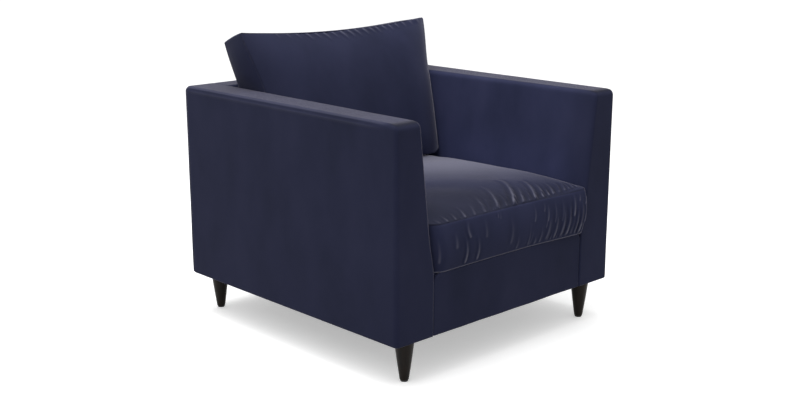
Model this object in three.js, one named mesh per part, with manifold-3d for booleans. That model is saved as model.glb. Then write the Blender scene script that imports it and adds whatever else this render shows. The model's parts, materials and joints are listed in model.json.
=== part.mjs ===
// Upholstered armchair with loose seat and back cushions, in millimetres, +Z up.
// The front faces -Y. The origin is on the floor, under the middle of the chair.
import * as THREE from "three";
import { mergeVertices } from "three/addons/utils/BufferGeometryUtils.js";
import Module from "manifold-3d";

const wasm = await Module();
wasm.setup();

// Overall sizes
const WIDTH = 900;
const DEPTH = 940;
const BODY_TOP = 716;
const LEG_HEIGHT = 122;

// Arms and back: thickness at the top edge and at the base, and where the lean starts
const ARM_TOP_FRONT = 87;
const ARM_TOP_REAR = 110;
const ARM_BASE = 137;
const BACK_TOP = 90;
const BACK_BASE = 137;
const DECK_TOP = 295;

// Rounding of the upholstered body
const FRONT_CORNER = 16;
const REAR_CORNER = 13;
const TOP_OUTER_EDGE = 14;
const TOP_INNER_EDGE = 14;
const TOP_END_EDGE = 12;

// Layers, from the outside inwards
const GAP = 0.3;
const COVER = 3;
const SIDE_WADDING = 3;
const INNER_FOAM = 14;
const TOP_FOAM = 12;
const FRONT_FOAM = 8;
const OUTSIDE_BACK = 8;

// Timber frame
const BOARD = 28;
const RAIL_BASE = LEG_HEIGHT + 4;
const SEAT_RAIL_HEIGHT = 136;
const SIDE_RAIL_HEIGHT = 120;
const ARM_RAIL_THICKNESS = 22;
const TACK_RAIL_THICKNESS = 22;
const TACK_RAIL_HEIGHT = 40;
const BLOCK_HEIGHT = 42;
const BLOCK_LENGTH = 74;

// Deck, springs, clips and back straps
const DECK_THICKNESS = 11;
const DECK_CLEARANCE = 1;
const SPRING_COUNT = 4;
const SPRING_WIRE = 1.9;
const SPRING_BARS = 16;
const SPRING_BAR_HALF = 12;
const SPRING_RISE = 10;
const CLIP_WIDTH = 24;
const CLIP_METAL = 1.2;
const STRAP_COUNT = 2;
const STRAP_WIDTH = 50;
const STRAP_THICKNESS = 1.5;
const STRAP_SETBACK = 6;

// Front border and dust cover
const BORDER_RETURN = 45;
const BORDER_CORNER = 24;
const BORDER_TOP_EDGE = 9;
const DUST_CLOTH = 1;
const DUST_INSET = 12;

// Legs, bolts and glides
const LEG_TOP_RADIUS = 28.5;
const LEG_FOOT_RADIUS = 13;
const LEG_FOOT_EDGE = 1.5;
const LEG_INSET_X = 72;
const LEG_INSET_FRONT = 46;
const LEG_INSET_REAR = 44;
const BOLT_RADIUS = 4;
const BOLT_IN_LEG = 36;
const BOLT_IN_BLOCK = 36;
const GLIDE_RADIUS = 11;
const GLIDE_HEIGHT = 4;
const GLIDE_EDGE = 1;
const NAIL_RADIUS = 1.2;
const NAIL_LENGTH = 11;

// Seat cushion
const SEAT_CUSHION_HEIGHT = 155;
const SEAT_CUSHION_SIDE_GAP = 1.5;
const SEAT_CUSHION_BACK_GAP = 2;
const SEAT_CORNER_FRONT = 46;
const SEAT_CORNER_REAR = 24;
const SEAT_EDGE = 14;

// Back cushion
const BACK_CUSHION_RISE = 437;
const BACK_CUSHION_DEPTH = 188;
const BACK_CUSHION_TOP_DEPTH = 113;
const BACK_CUSHION_TOP_DROP = 40;
const BACK_CUSHION_LEAN = 144;
const BACK_CUSHION_SETBACK = 11;
const BACK_CUSHION_SIDE_GAP = 5;
const BACK_CUSHION_FLARE = 29;
const BACK_CUSHION_CORNER = 18;
const BACK_CUSHION_EDGE = 7;

// Cushion covers and zips
const CUSHION_COVER = 6;
const CORE_GAP = 1;
const REST_GAP = 0.5;
const ZIP_HALF_LENGTH = 250;
const ZIP_GROOVE_DEPTH = 3.6;
const ZIP_GROOVE_HEIGHT = 9;
const ZIP_SLOT = 1.6;
const SLIDER_LENGTH = 12;
const SLIDER_THICKNESS = 2.6;
const PULL_LENGTH = 20;
const PULL_WIDTH = 5;
const PULL_THICKNESS = 1.2;

const ARC_STEPS = 5;
const ROUND_STEPS = 20;
const BEYOND = 50;

// Sizes worked out from the ones above
const HALF_WIDTH = WIDTH / 2;
const HALF_DEPTH = DEPTH / 2;
const BASE_INNER_X = HALF_WIDTH - ARM_BASE;
const TOP_INNER_X = HALF_WIDTH - ARM_TOP_FRONT;
const BASE_INNER_Y = HALF_DEPTH - BACK_BASE;
const TOP_INNER_Y = HALF_DEPTH - BACK_TOP;
const PANEL_JOINT_Y = HALF_DEPTH - OUTSIDE_BACK - GAP;
const RAIL_TOP = RAIL_BASE + SEAT_RAIL_HEIGHT;
const DECK_BASE = DECK_TOP - DECK_THICKNESS;
const TUCK_Z = DECK_BASE - 2;
const BLOCK_TOP = RAIL_BASE + BLOCK_HEIGHT;

const UPHOLSTERY = new THREE.MeshStandardMaterial({ color: 0x2a2b42, roughness: 0.85, metalness: 0 });
const FOAM = new THREE.MeshStandardMaterial({ color: 0xd8cfa8, roughness: 0.95, metalness: 0 });
const CLOTH = new THREE.MeshStandardMaterial({ color: 0x1b1b1d, roughness: 0.95, metalness: 0 });
const WEBBING = new THREE.MeshStandardMaterial({ color: 0x2d2d30, roughness: 0.8, metalness: 0 });
const TIMBER = new THREE.MeshStandardMaterial({ color: 0xb58a5a, roughness: 0.7, metalness: 0 });
const LEG_WOOD = new THREE.MeshStandardMaterial({ color: 0x241f1c, roughness: 0.45, metalness: 0 });
const STEEL = new THREE.MeshStandardMaterial({ color: 0x8a8d90, roughness: 0.4, metalness: 0.9 });
const PLASTIC = new THREE.MeshStandardMaterial({ color: 0x1c1c1c, roughness: 0.7, metalness: 0 });

// ---- Solids ----

function toSolid(geometry) {
  const bare = geometry.clone();
  bare.deleteAttribute("normal");
  bare.deleteAttribute("uv");
  const merged = mergeVertices(bare, 1e-4);
  const vertProperties = merged.attributes.position.array;
  const triVerts = new Uint32Array(merged.index.array);
  return new wasm.Manifold(new wasm.Mesh({ numProp: 3, vertProperties, triVerts }));
}

function toGeometry(solid) {
  const mesh = solid.getMesh();
  const geometry = new THREE.BufferGeometry();
  geometry.setAttribute("position", new THREE.BufferAttribute(new Float32Array(mesh.vertProperties), 3));
  geometry.setIndex(new THREE.BufferAttribute(new Uint32Array(mesh.triVerts), 1));
  geometry.computeVertexNormals();
  return geometry;
}

// A box from its lowest corner to its highest.
function box(low, high) {
  const size = high.map((value, i) => value - low[i]);
  const geometry = new THREE.BoxGeometry(...size);
  geometry.translate(...low.map((value, i) => value + size[i] / 2));
  return toSolid(geometry);
}

// The points of an outline whose corners are [u, v, radius]; a corner with no radius stays sharp.
function roundCorners(corners) {
  const points = [];
  corners.forEach(([u, v, radius = 0], i) => {
    const here = new THREE.Vector2(u, v);
    if (radius <= 0) {
      points.push(here);
      return;
    }
    const [previousU, previousV] = corners.at(i - 1);
    const [nextU, nextV] = corners[(i + 1) % corners.length];
    const toPrevious = new THREE.Vector2(previousU - u, previousV - v).normalize();
    const toNext = new THREE.Vector2(nextU - u, nextV - v).normalize();
    const half = Math.acos(toPrevious.dot(toNext)) / 2;
    const middle = toPrevious.clone().add(toNext).normalize();
    const centre = here.clone().addScaledVector(middle, radius / Math.sin(half));
    const start = here.clone().addScaledVector(toPrevious, radius / Math.tan(half)).sub(centre);
    const end = here.clone().addScaledVector(toNext, radius / Math.tan(half)).sub(centre);
    const sweep = Math.atan2(start.cross(end), start.dot(end));
    for (let step = 0; step <= ARC_STEPS; step += 1) {
      const turned = start.clone().rotateAround(new THREE.Vector2(), (sweep * step) / ARC_STEPS);
      points.push(turned.add(centre));
    }
  });
  return points;
}

// How an outline (u, v) and the direction it is extruded in lie along X, Y and Z.
const DIRECTIONS = {
  x: [new THREE.Vector3(0, 1, 0), new THREE.Vector3(0, 0, 1), new THREE.Vector3(1, 0, 0)],
  y: [new THREE.Vector3(1, 0, 0), new THREE.Vector3(0, 0, 1), new THREE.Vector3(0, -1, 0)],
  z: [new THREE.Vector3(1, 0, 0), new THREE.Vector3(0, 1, 0), new THREE.Vector3(0, 0, 1)],
};

// Extrudes an outline along an axis. The outline is (y, z) along x, (x, z) along y and (x, y) along z.
function prismGeometry(axis, corners, from, to) {
  const shape = new THREE.Shape(roundCorners(corners));
  const geometry = new THREE.ExtrudeGeometry(shape, { depth: to - from, bevelEnabled: false });
  geometry.translate(0, 0, axis === "y" ? -to : from);
  return geometry.applyMatrix4(new THREE.Matrix4().makeBasis(...DIRECTIONS[axis]));
}

function prism(axis, corners, from, to) {
  return toSolid(prismGeometry(axis, corners, from, to));
}

function cylinder(x, y, radius, from, to) {
  const geometry = new THREE.CylinderGeometry(radius, radius, to - from, ROUND_STEPS);
  geometry.rotateX(Math.PI / 2);
  geometry.translate(x, y, (from + to) / 2);
  return toSolid(geometry);
}

function turned(profile, steps = ROUND_STEPS) {
  const points = profile.map(([radius, z]) => new THREE.Vector2(radius, z));
  return new THREE.LatheGeometry(points, steps).rotateX(Math.PI / 2);
}

const chair = new THREE.Group();

function add(name, shape, material) {
  const geometry = shape.isBufferGeometry ? shape : toGeometry(shape);
  const mesh = new THREE.Mesh(geometry, material);
  mesh.name = name;
  chair.add(mesh);
  return mesh;
}

// ---- The upholstered body: a block with rounded edges, less the well that the cushions sit in ----

// Half the width between the arms at a height, at the front of the chair.
function innerX(z) {
  const share = (z - DECK_TOP) / (BODY_TOP - DECK_TOP);
  return BASE_INNER_X + (TOP_INNER_X - BASE_INNER_X) * Math.max(share, 0);
}

// How much nearer the middle an arm's inner face is, at a depth and height, than at the front.
function armThickening(y, z) {
  const alongDepth = (y + HALF_DEPTH) / DEPTH;
  const upwards = Math.max((z - DECK_TOP) / (BODY_TOP - DECK_TOP), 0);
  return (ARM_TOP_REAR - ARM_TOP_FRONT) * alongDepth * upwards;
}

function innerY(z) {
  const share = (z - DECK_TOP) / (BODY_TOP - DECK_TOP);
  return BASE_INNER_Y + (TOP_INNER_Y - BASE_INNER_Y) * Math.max(share, 0);
}

function block({ outer, top, front, rear, base }) {
  const x = HALF_WIDTH - outer;
  const z = BODY_TOP - top;
  const low = -HALF_DEPTH + front;
  const high = HALF_DEPTH - rear;
  const plan = prism("z", [
    [-x, low, FRONT_CORNER - outer],
    [x, low, FRONT_CORNER - outer],
    [x, high, REAR_CORNER - outer],
    [-x, high, REAR_CORNER - outer],
  ], base, z);
  const frontView = prism("y", [
    [-x, base],
    [x, base],
    [x, z, TOP_OUTER_EDGE - outer],
    [-x, z, TOP_OUTER_EDGE - outer],
  ], low - BEYOND, high + BEYOND);
  const sideView = prism("x", [
    [low, base],
    [high, base],
    [high, z, TOP_END_EDGE - outer],
    [low, z, TOP_END_EDGE - outer],
  ], -x - BEYOND, x + BEYOND);
  return plan.intersect(frontView).intersect(sideView);
}

// The space between the arms' inner faces, grown sideways by a layer's depth. It runs from far in
// front of the chair to far behind it, and its walls curve outwards over the arms' tops.
function betweenArms(grow, top) {
  const lip = BODY_TOP - top + 0.05;
  const radius = Math.max(TOP_INNER_EDGE - top, 1);
  const wall = [
    [BASE_INNER_X + grow, LEG_HEIGHT - BEYOND],
    [BASE_INNER_X + grow, DECK_TOP],
    [innerX(lip) + grow, lip, radius],
    [HALF_WIDTH + BEYOND, lip],
    [HALF_WIDTH + BEYOND, BODY_TOP + BEYOND],
  ];
  const mirrored = wall.map(([x, z, r]) => [-x, z, r]).reverse();
  const geometry = prismGeometry("y", [...wall, ...mirrored], -HALF_DEPTH, HALF_DEPTH);
  const position = geometry.attributes.position;
  for (let i = 0; i < position.count; i += 1) {
    const x = position.getX(i);
    const shift = armThickening(position.getY(i), Math.min(position.getZ(i), lip));
    if (Math.abs(x) < HALF_WIDTH) position.setX(i, x - Math.sign(x) * shift);
  }
  return toSolid(geometry);
}

function inFrontOfBack(grow, top) {
  const lip = BODY_TOP - top + 0.05;
  return prism("x", [
    [-HALF_DEPTH - BEYOND, LEG_HEIGHT - BEYOND],
    [BASE_INNER_Y + grow, LEG_HEIGHT - BEYOND],
    [BASE_INNER_Y + grow, DECK_TOP],
    [innerY(lip) + grow, lip, Math.max(TOP_INNER_EDGE - top, 1)],
    [HALF_DEPTH + BEYOND, lip],
    [HALF_DEPTH + BEYOND, BODY_TOP + BEYOND],
    [-HALF_DEPTH - BEYOND, BODY_TOP + BEYOND],
  ], -HALF_WIDTH - BEYOND, HALF_WIDTH + BEYOND);
}

// The arms and back as one solid, pulled in by the depths of the layers outside it.
function tub(layers) {
  const well = betweenArms(layers.inner, layers.top).intersect(inFrontOfBack(layers.inner, layers.top));
  return block(layers).subtract(well);
}

const SKIN = { outer: 0, inner: 0, top: 0, front: 0, rear: 0, base: LEG_HEIGHT };
const UNDER_COVER = {
  outer: COVER,
  inner: COVER,
  top: COVER,
  front: COVER,
  rear: 0,
  base: LEG_HEIGHT - BEYOND,
};
const FOAM_SKIN = {
  outer: COVER + GAP,
  inner: COVER + GAP,
  top: COVER + GAP,
  front: COVER + GAP,
  rear: 0,
  base: RAIL_BASE,
};
const UNDER_FOAM = {
  outer: FOAM_SKIN.outer + SIDE_WADDING,
  inner: FOAM_SKIN.inner + INNER_FOAM,
  top: FOAM_SKIN.top + TOP_FOAM,
  front: FOAM_SKIN.front + FRONT_FOAM,
  rear: 0,
  base: LEG_HEIGHT - BEYOND,
};
const FRAME_SKIN = {
  outer: UNDER_FOAM.outer + GAP,
  inner: UNDER_FOAM.inner + GAP,
  top: UNDER_FOAM.top + GAP,
  front: UNDER_FOAM.front + GAP,
  rear: OUTSIDE_BACK + 2 * GAP,
  base: RAIL_BASE,
};

const FRAME_OUTER_X = HALF_WIDTH - FRAME_SKIN.outer;
const FRAME_INNER_X = BASE_INNER_X + FRAME_SKIN.inner;
const FRAME_INNER_Y = BASE_INNER_Y + FRAME_SKIN.inner;
const FRAME_FRONT_Y = -HALF_DEPTH + FRAME_SKIN.front;
const FRAME_REAR_Y = HALF_DEPTH - FRAME_SKIN.rear;
const FRAME_TOP = BODY_TOP - FRAME_SKIN.top;
const BORDER_THICKNESS = OUTSIDE_BACK + GAP;
const FRONT_RAIL_Y = -HALF_DEPTH + BORDER_THICKNESS + GAP;
const SIDE_RAIL_X = FRAME_OUTER_X - BOARD;
const POST_FRONT_Y = FRAME_FRONT_Y + BOARD;
const POST_REAR_Y = FRAME_REAR_Y - BOARD;

const SIDES = { left: -1, right: 1 };

// The part of a solid on one side of the chair, from an x to beyond the arm.
function onSide(solid, side, fromX = 0) {
  const far = HALF_WIDTH + BEYOND;
  const low = side > 0 ? fromX : -far;
  const high = side > 0 ? far : -fromX;
  return solid.intersect(box([low, -DEPTH, -BEYOND], [high, DEPTH, BODY_TOP + BEYOND]));
}

// A box that is the same on either side, given for the right side.
function sideBox(side, [lowX, lowY, lowZ], [highX, highY, highZ]) {
  const x = [lowX * side, highX * side].sort((a, b) => a - b);
  return box([x[0], lowY, lowZ], [x[1], highY, highZ]);
}

// ---- Frame ----

const frameSpace = tub(FRAME_SKIN);

function buildSeatRails() {
  const x = FRAME_INNER_X - GAP;
  add("front_rail", box([-x, FRONT_RAIL_Y, RAIL_BASE], [x, FRONT_RAIL_Y + BOARD, RAIL_TOP]), TIMBER);
  add("rear_rail", box([-x, POST_REAR_Y, RAIL_BASE], [x, FRAME_REAR_Y, RAIL_TOP]), TIMBER);
}

function buildArmFrame(name, side) {
  const far = HALF_WIDTH;
  const post = (lowY, highY) =>
    frameSpace.intersect(sideBox(side, [FRAME_INNER_X, lowY, BLOCK_TOP + GAP], [far, highY, FRAME_TOP]));
  add(`arm_front_post_${name}`, post(FRAME_FRONT_Y, POST_FRONT_Y), TIMBER);
  add(`back_post_${name}`, post(POST_REAR_Y, FRAME_REAR_Y), TIMBER);

  const front = POST_FRONT_Y + GAP;
  const rear = POST_REAR_Y - GAP;
  const sideRail = sideBox(
    side,
    [SIDE_RAIL_X, front, RAIL_BASE],
    [FRAME_OUTER_X, rear, RAIL_BASE + SIDE_RAIL_HEIGHT],
  );
  add(`side_rail_${name}`, sideRail, TIMBER);

  const railBase = FRAME_TOP - ARM_RAIL_THICKNESS;
  const topSpace = sideBox(side, [FRAME_INNER_X, front, railBase], [far, rear, FRAME_TOP]);
  const armTop = frameSpace.intersect(topSpace).subtract(betweenArms(FRAME_SKIN.inner, FRAME_SKIN.top));
  add(`arm_top_rail_${name}`, armTop, TIMBER);

  const tackX = FRAME_INNER_X + TACK_RAIL_THICKNESS;
  const tackSpace = sideBox(side, [FRAME_INNER_X, front, DECK_BASE], [tackX, rear, DECK_BASE + TACK_RAIL_HEIGHT]);
  const tackRail = tackSpace.subtract(betweenArms(FRAME_SKIN.inner, FRAME_SKIN.top));
  add(`arm_tack_rail_${name}`, tackRail, TIMBER);
}

function buildBackFrame() {
  const armInside = betweenArms(FRAME_SKIN.inner - GAP, FRAME_SKIN.top);
  const x = HALF_WIDTH;
  const topLow = FRAME_TOP - ARM_RAIL_THICKNESS;
  const topSpace = box([-x, FRAME_INNER_Y, topLow], [x, POST_REAR_Y - GAP, FRAME_TOP]);
  add("back_top_rail", frameSpace.intersect(topSpace).intersect(armInside), TIMBER);
  const tackX = FRAME_INNER_X - GAP;
  const tackLow = [-tackX, FRAME_INNER_Y, DECK_BASE];
  const tackHigh = [tackX, FRAME_INNER_Y + TACK_RAIL_THICKNESS, DECK_BASE + TACK_RAIL_HEIGHT];
  const tackSpace = box(tackLow, tackHigh).subtract(inFrontOfBack(FRAME_SKIN.inner, FRAME_SKIN.top));
  add("back_tack_rail", tackSpace, TIMBER);
}

// Where the legs stand: a name, x and y for each.
const LEG_PLACES = [];
for (const [name, side] of Object.entries(SIDES)) {
  const x = side * (HALF_WIDTH - LEG_INSET_X);
  LEG_PLACES.push({ name: `front_${name}`, side, x, y: -HALF_DEPTH + LEG_INSET_FRONT });
  LEG_PLACES.push({ name: `rear_${name}`, side, x, y: HALF_DEPTH - LEG_INSET_REAR });
}

function buildCornerBlock({ name, side, x, y }) {
  const lowY = y < 0 ? FRAME_FRONT_Y : FRAME_REAR_Y - BLOCK_LENGTH;
  const low = [FRAME_INNER_X, lowY, RAIL_BASE];
  const high = [SIDE_RAIL_X - GAP, lowY + BLOCK_LENGTH, BLOCK_TOP];
  const boltHole = cylinder(x, y, BOLT_RADIUS + GAP, RAIL_BASE - 1, RAIL_BASE + BOLT_IN_BLOCK + GAP);
  add(`corner_block_${name}`, sideBox(side, low, high).subtract(boltHole), TIMBER);
}

// ---- Springs, deck and back straps ----

const WIRE_Z = RAIL_TOP + GAP + CLIP_METAL + GAP + SPRING_WIRE;
const SPRING_END_Y = FRONT_RAIL_Y + BOARD / 2;
const SPRING_REAR_Y = POST_REAR_Y + BOARD / 2;

// A serpentine spring: straight bars joined by half circles, arched upwards between the rails.
function springCurve(x) {
  const pitch = (SPRING_REAR_Y - SPRING_END_Y) / (SPRING_BARS - 1);
  const radius = pitch / 2;
  const middle = (SPRING_REAR_Y + SPRING_END_Y) / 2;
  const rise = (y) => {
    const share = (y - middle) / (SPRING_REAR_Y - middle);
    return WIRE_Z + SPRING_RISE * Math.max(1 - share ** 2, 0);
  };
  const points = [];
  for (let bar = 0; bar < SPRING_BARS; bar += 1) {
    const y = SPRING_END_Y + bar * pitch;
    const way = bar % 2 === 0 ? 1 : -1;
    points.push(new THREE.Vector3(x - way * SPRING_BAR_HALF, y, rise(y)));
    points.push(new THREE.Vector3(x + way * SPRING_BAR_HALF, y, rise(y)));
    if (bar === SPRING_BARS - 1) break;
    for (const angle of [Math.PI / 4, Math.PI / 2, (3 * Math.PI) / 4]) {
      const bendY = y + radius - radius * Math.cos(angle);
      const bendX = x + way * (SPRING_BAR_HALF + radius * Math.sin(angle));
      points.push(new THREE.Vector3(bendX, bendY, rise(bendY)));
    }
  }
  return new THREE.CatmullRomCurve3(points, false, "centripetal");
}

function wireSection(radius, sides) {
  const points = [];
  for (let i = 0; i < sides; i += 1) {
    const angle = (2 * Math.PI * i) / sides;
    points.push(new THREE.Vector2(radius * Math.cos(angle), radius * Math.sin(angle)));
  }
  return new THREE.Shape(points);
}

function buildSpring(index) {
  const spacing = (2 * BASE_INNER_X) / SPRING_COUNT;
  const x = (index - (SPRING_COUNT - 1) / 2) * spacing;
  const steps = SPRING_BARS * 6;
  const section = wireSection(SPRING_WIRE, 5);
  const wire = new THREE.ExtrudeGeometry(section, { steps, extrudePath: springCurve(x), bevelEnabled: false });
  add(`seat_spring_${index + 1}`, wire, STEEL);
  buildClip(`spring_clip_front_${index + 1}`, x, SPRING_END_Y, -1);
  buildClip(`spring_clip_rear_${index + 1}`, x, SPRING_REAR_Y, 1);
}

// A folded steel clip around a spring's end bar, closed on the side away from the seat.
function buildClip(name, x, y, away) {
  const inside = SPRING_WIRE + GAP;
  const base = WIRE_Z - inside - CLIP_METAL;
  const roof = WIRE_Z + inside + CLIP_METAL;
  const closed = y + away * (inside + CLIP_METAL + 2);
  const inner = closed - away * CLIP_METAL;
  const profile = [
    [y - away * 9, base],
    [closed, base],
    [closed, roof],
    [y - away * 3, roof],
    [y - away * 3, roof - CLIP_METAL],
    [inner, roof - CLIP_METAL],
    [inner, base + CLIP_METAL],
    [y - away * 9, base + CLIP_METAL],
  ];
  add(name, prism("x", profile, x - CLIP_WIDTH / 2, x + CLIP_WIDTH / 2), STEEL);
}

function buildDeck() {
  const x = BASE_INNER_X - DECK_CLEARANCE;
  const low = -HALF_DEPTH + BORDER_RETURN + GAP;
  const high = BASE_INNER_Y - DECK_CLEARANCE;
  add("seat_deck", box([-x, low, DECK_BASE], [x, high, DECK_TOP]), CLOTH);
}

function buildStrap(index) {
  const x = (index - (STRAP_COUNT - 1) / 2) * ((2 * BASE_INNER_X) / (STRAP_COUNT + 1));
  const low = DECK_BASE + TACK_RAIL_HEIGHT + GAP;
  const high = FRAME_TOP - ARM_RAIL_THICKNESS - GAP;
  const lowY = innerY(low) + FRAME_SKIN.inner + STRAP_SETBACK;
  const highY = innerY(high) + FRAME_SKIN.inner + STRAP_SETBACK;
  const profile = [
    [lowY, low],
    [lowY + STRAP_THICKNESS, low],
    [highY + STRAP_THICKNESS, high],
    [highY, high],
  ];
  add(`back_strap_${index + 1}`, prism("x", profile, x - STRAP_WIDTH / 2, x + STRAP_WIDTH / 2), WEBBING);
}

// ---- Padding and covers ----

// Under the deck the covers and the foam stop, and the rails run through.
const baseSpace = box(
  [-FRAME_INNER_X, -HALF_DEPTH + BORDER_THICKNESS, LEG_HEIGHT - BEYOND],
  [FRAME_INNER_X, HALF_DEPTH, TUCK_Z],
);
const beforePanel = box([-WIDTH, -DEPTH, 0], [WIDTH, PANEL_JOINT_Y, BODY_TOP + BEYOND]);

function buildLayer(outside, inside, armName, backName, material) {
  const layer = tub(outside).subtract(tub(inside)).subtract(baseSpace).intersect(beforePanel);
  const seam = betweenArms(outside.inner, outside.top);
  const seamForBack = betweenArms(outside.inner - GAP, outside.top);
  for (const [name, side] of Object.entries(SIDES)) {
    add(`${armName}_${name}`, onSide(layer.subtract(seam), side), material);
  }
  add(backName, layer.intersect(seamForBack), material);
}

function buildOutsideBack() {
  const panel = box([-WIDTH, PANEL_JOINT_Y + GAP, 0], [WIDTH, DEPTH, BODY_TOP + BEYOND]);
  add("outside_back", block(SKIN).intersect(panel), UPHOLSTERY);
}

function buildFrontBorder() {
  const x = BASE_INNER_X - GAP;
  const front = -HALF_DEPTH;
  const profile = [
    [front, LEG_HEIGHT],
    [front + BORDER_THICKNESS, LEG_HEIGHT],
    [front + BORDER_THICKNESS, DECK_BASE],
    [front + BORDER_RETURN, DECK_BASE],
    [front + BORDER_RETURN, DECK_TOP],
    [front, DECK_TOP, BORDER_TOP_EDGE],
  ];
  const frontView = [
    [-x, LEG_HEIGHT - BEYOND],
    [x, LEG_HEIGHT - BEYOND],
    [x, DECK_TOP, BORDER_CORNER],
    [-x, DECK_TOP, BORDER_CORNER],
  ];
  const panel = prism("x", profile, -x, x);
  add("front_border", panel.intersect(prism("y", frontView, -DEPTH, 0)), UPHOLSTERY);
}

function buildDustCover() {
  const x = HALF_WIDTH - DUST_INSET;
  const y = HALF_DEPTH - DUST_INSET;
  const corner = FRONT_CORNER - DUST_INSET;
  const outline = [
    [-x, -y, corner],
    [x, -y, corner],
    [x, y, corner],
    [-x, y, corner],
  ];
  const base = RAIL_BASE - GAP - DUST_CLOTH;
  let cloth = prism("z", outline, base, base + DUST_CLOTH);
  for (const { x: legX, y: legY } of LEG_PLACES) {
    cloth = cloth.subtract(cylinder(legX, legY, LEG_TOP_RADIUS + 1, base - 1, base + DUST_CLOTH + 1));
  }
  add("dust_cover", cloth, CLOTH);
}

// ---- Legs ----

function buildLeg({ name, x, y }) {
  const foot = GLIDE_HEIGHT + GAP;
  const top = RAIL_BASE - GAP;
  const nailHole = NAIL_RADIUS + GAP;
  const boltHole = BOLT_RADIUS + GAP;
  const holeBase = RAIL_BASE - BOLT_IN_LEG - GAP;
  const nailTop = GLIDE_HEIGHT + NAIL_LENGTH + GAP;
  const leg = turned([
    [0, nailTop],
    [nailHole, nailTop],
    [nailHole, foot],
    [LEG_FOOT_RADIUS - LEG_FOOT_EDGE, foot],
    [LEG_FOOT_RADIUS, foot + LEG_FOOT_EDGE],
    [LEG_TOP_RADIUS, LEG_HEIGHT],
    [LEG_TOP_RADIUS, top],
    [boltHole, top],
    [boltHole, holeBase],
    [0, holeBase],
  ]);
  const bolt = turned([
    [0, RAIL_BASE - BOLT_IN_LEG],
    [BOLT_RADIUS - 1, RAIL_BASE - BOLT_IN_LEG],
    [BOLT_RADIUS, RAIL_BASE - BOLT_IN_LEG + 1],
    [BOLT_RADIUS, RAIL_BASE + BOLT_IN_BLOCK - 1],
    [BOLT_RADIUS - 1, RAIL_BASE + BOLT_IN_BLOCK],
    [0, RAIL_BASE + BOLT_IN_BLOCK],
  ]);
  const glide = turned([
    [0, 0],
    [GLIDE_RADIUS - GLIDE_EDGE, 0],
    [GLIDE_RADIUS, GLIDE_EDGE],
    [GLIDE_RADIUS, GLIDE_HEIGHT],
    [NAIL_RADIUS, GLIDE_HEIGHT],
    [NAIL_RADIUS, GLIDE_HEIGHT + NAIL_LENGTH],
    [0, GLIDE_HEIGHT + NAIL_LENGTH],
  ]);
  add(`leg_${name}`, leg, LEG_WOOD).position.set(x, y, 0);
  add(`leg_bolt_${name}`, bolt, STEEL).position.set(x, y, 0);
  add(`glide_${name}`, glide, PLASTIC).position.set(x, y, 0);
}

// ---- Cushions ----

const CUSHION_BASE = DECK_TOP + REST_GAP;
const CUSHION_TOP = CUSHION_BASE + SEAT_CUSHION_HEIGHT;
const CUSHION_HALF_WIDTH = BASE_INNER_X - SEAT_CUSHION_SIDE_GAP;
const CUSHION_REAR_Y = BASE_INNER_Y - SEAT_CUSHION_BACK_GAP;

// The seat cushion's outside, pulled in by a depth on every side.
function seatCushionSolid(depth) {
  const x = CUSHION_HALF_WIDTH - depth;
  const front = -HALF_DEPTH + depth;
  const rear = CUSHION_REAR_Y - depth;
  const low = CUSHION_BASE + depth;
  const high = CUSHION_TOP - depth;
  const edge = SEAT_EDGE - depth;
  const plan = prism("z", [
    [-x, front, SEAT_CORNER_FRONT - depth],
    [x, front, SEAT_CORNER_FRONT - depth],
    [x, rear, SEAT_CORNER_REAR - depth],
    [-x, rear, SEAT_CORNER_REAR - depth],
  ], low, high);
  const frontView = prism("y", [
    [-x, low, edge],
    [x, low, edge],
    [x, high, edge],
    [-x, high, edge],
  ], -DEPTH, DEPTH);
  const sideView = prism("x", [
    [front, low, edge],
    [rear, low, edge],
    [rear, high, edge],
    [front, high, edge],
  ], -WIDTH, WIDTH);
  return plan.intersect(frontView).intersect(sideView);
}

const BACK_CUSHION_BASE = CUSHION_TOP + REST_GAP + 0.5;
const BACK_CUSHION_REAR_Y = BASE_INNER_Y - BACK_CUSHION_SETBACK;
const BACK_CUSHION_FRONT_Y = BACK_CUSHION_REAR_Y - BACK_CUSHION_DEPTH;

// Half the back cushion's width: it clears the arms up to their tops, and flares above them.
function backCushionHalf(z) {
  const armTopHalf = innerX(BODY_TOP) - armThickening(HALF_DEPTH, BODY_TOP) - BACK_CUSHION_SIDE_GAP;
  const baseHalf = BASE_INNER_X - BACK_CUSHION_SIDE_GAP;
  const share = (z - BACK_CUSHION_BASE) / (BODY_TOP - BACK_CUSHION_BASE);
  if (share <= 1) return baseHalf + (armTopHalf - baseHalf) * share;
  return armTopHalf + (BACK_CUSHION_FLARE * (z - BODY_TOP)) / (BACK_CUSHION_BASE + BACK_CUSHION_RISE - BODY_TOP);
}

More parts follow.
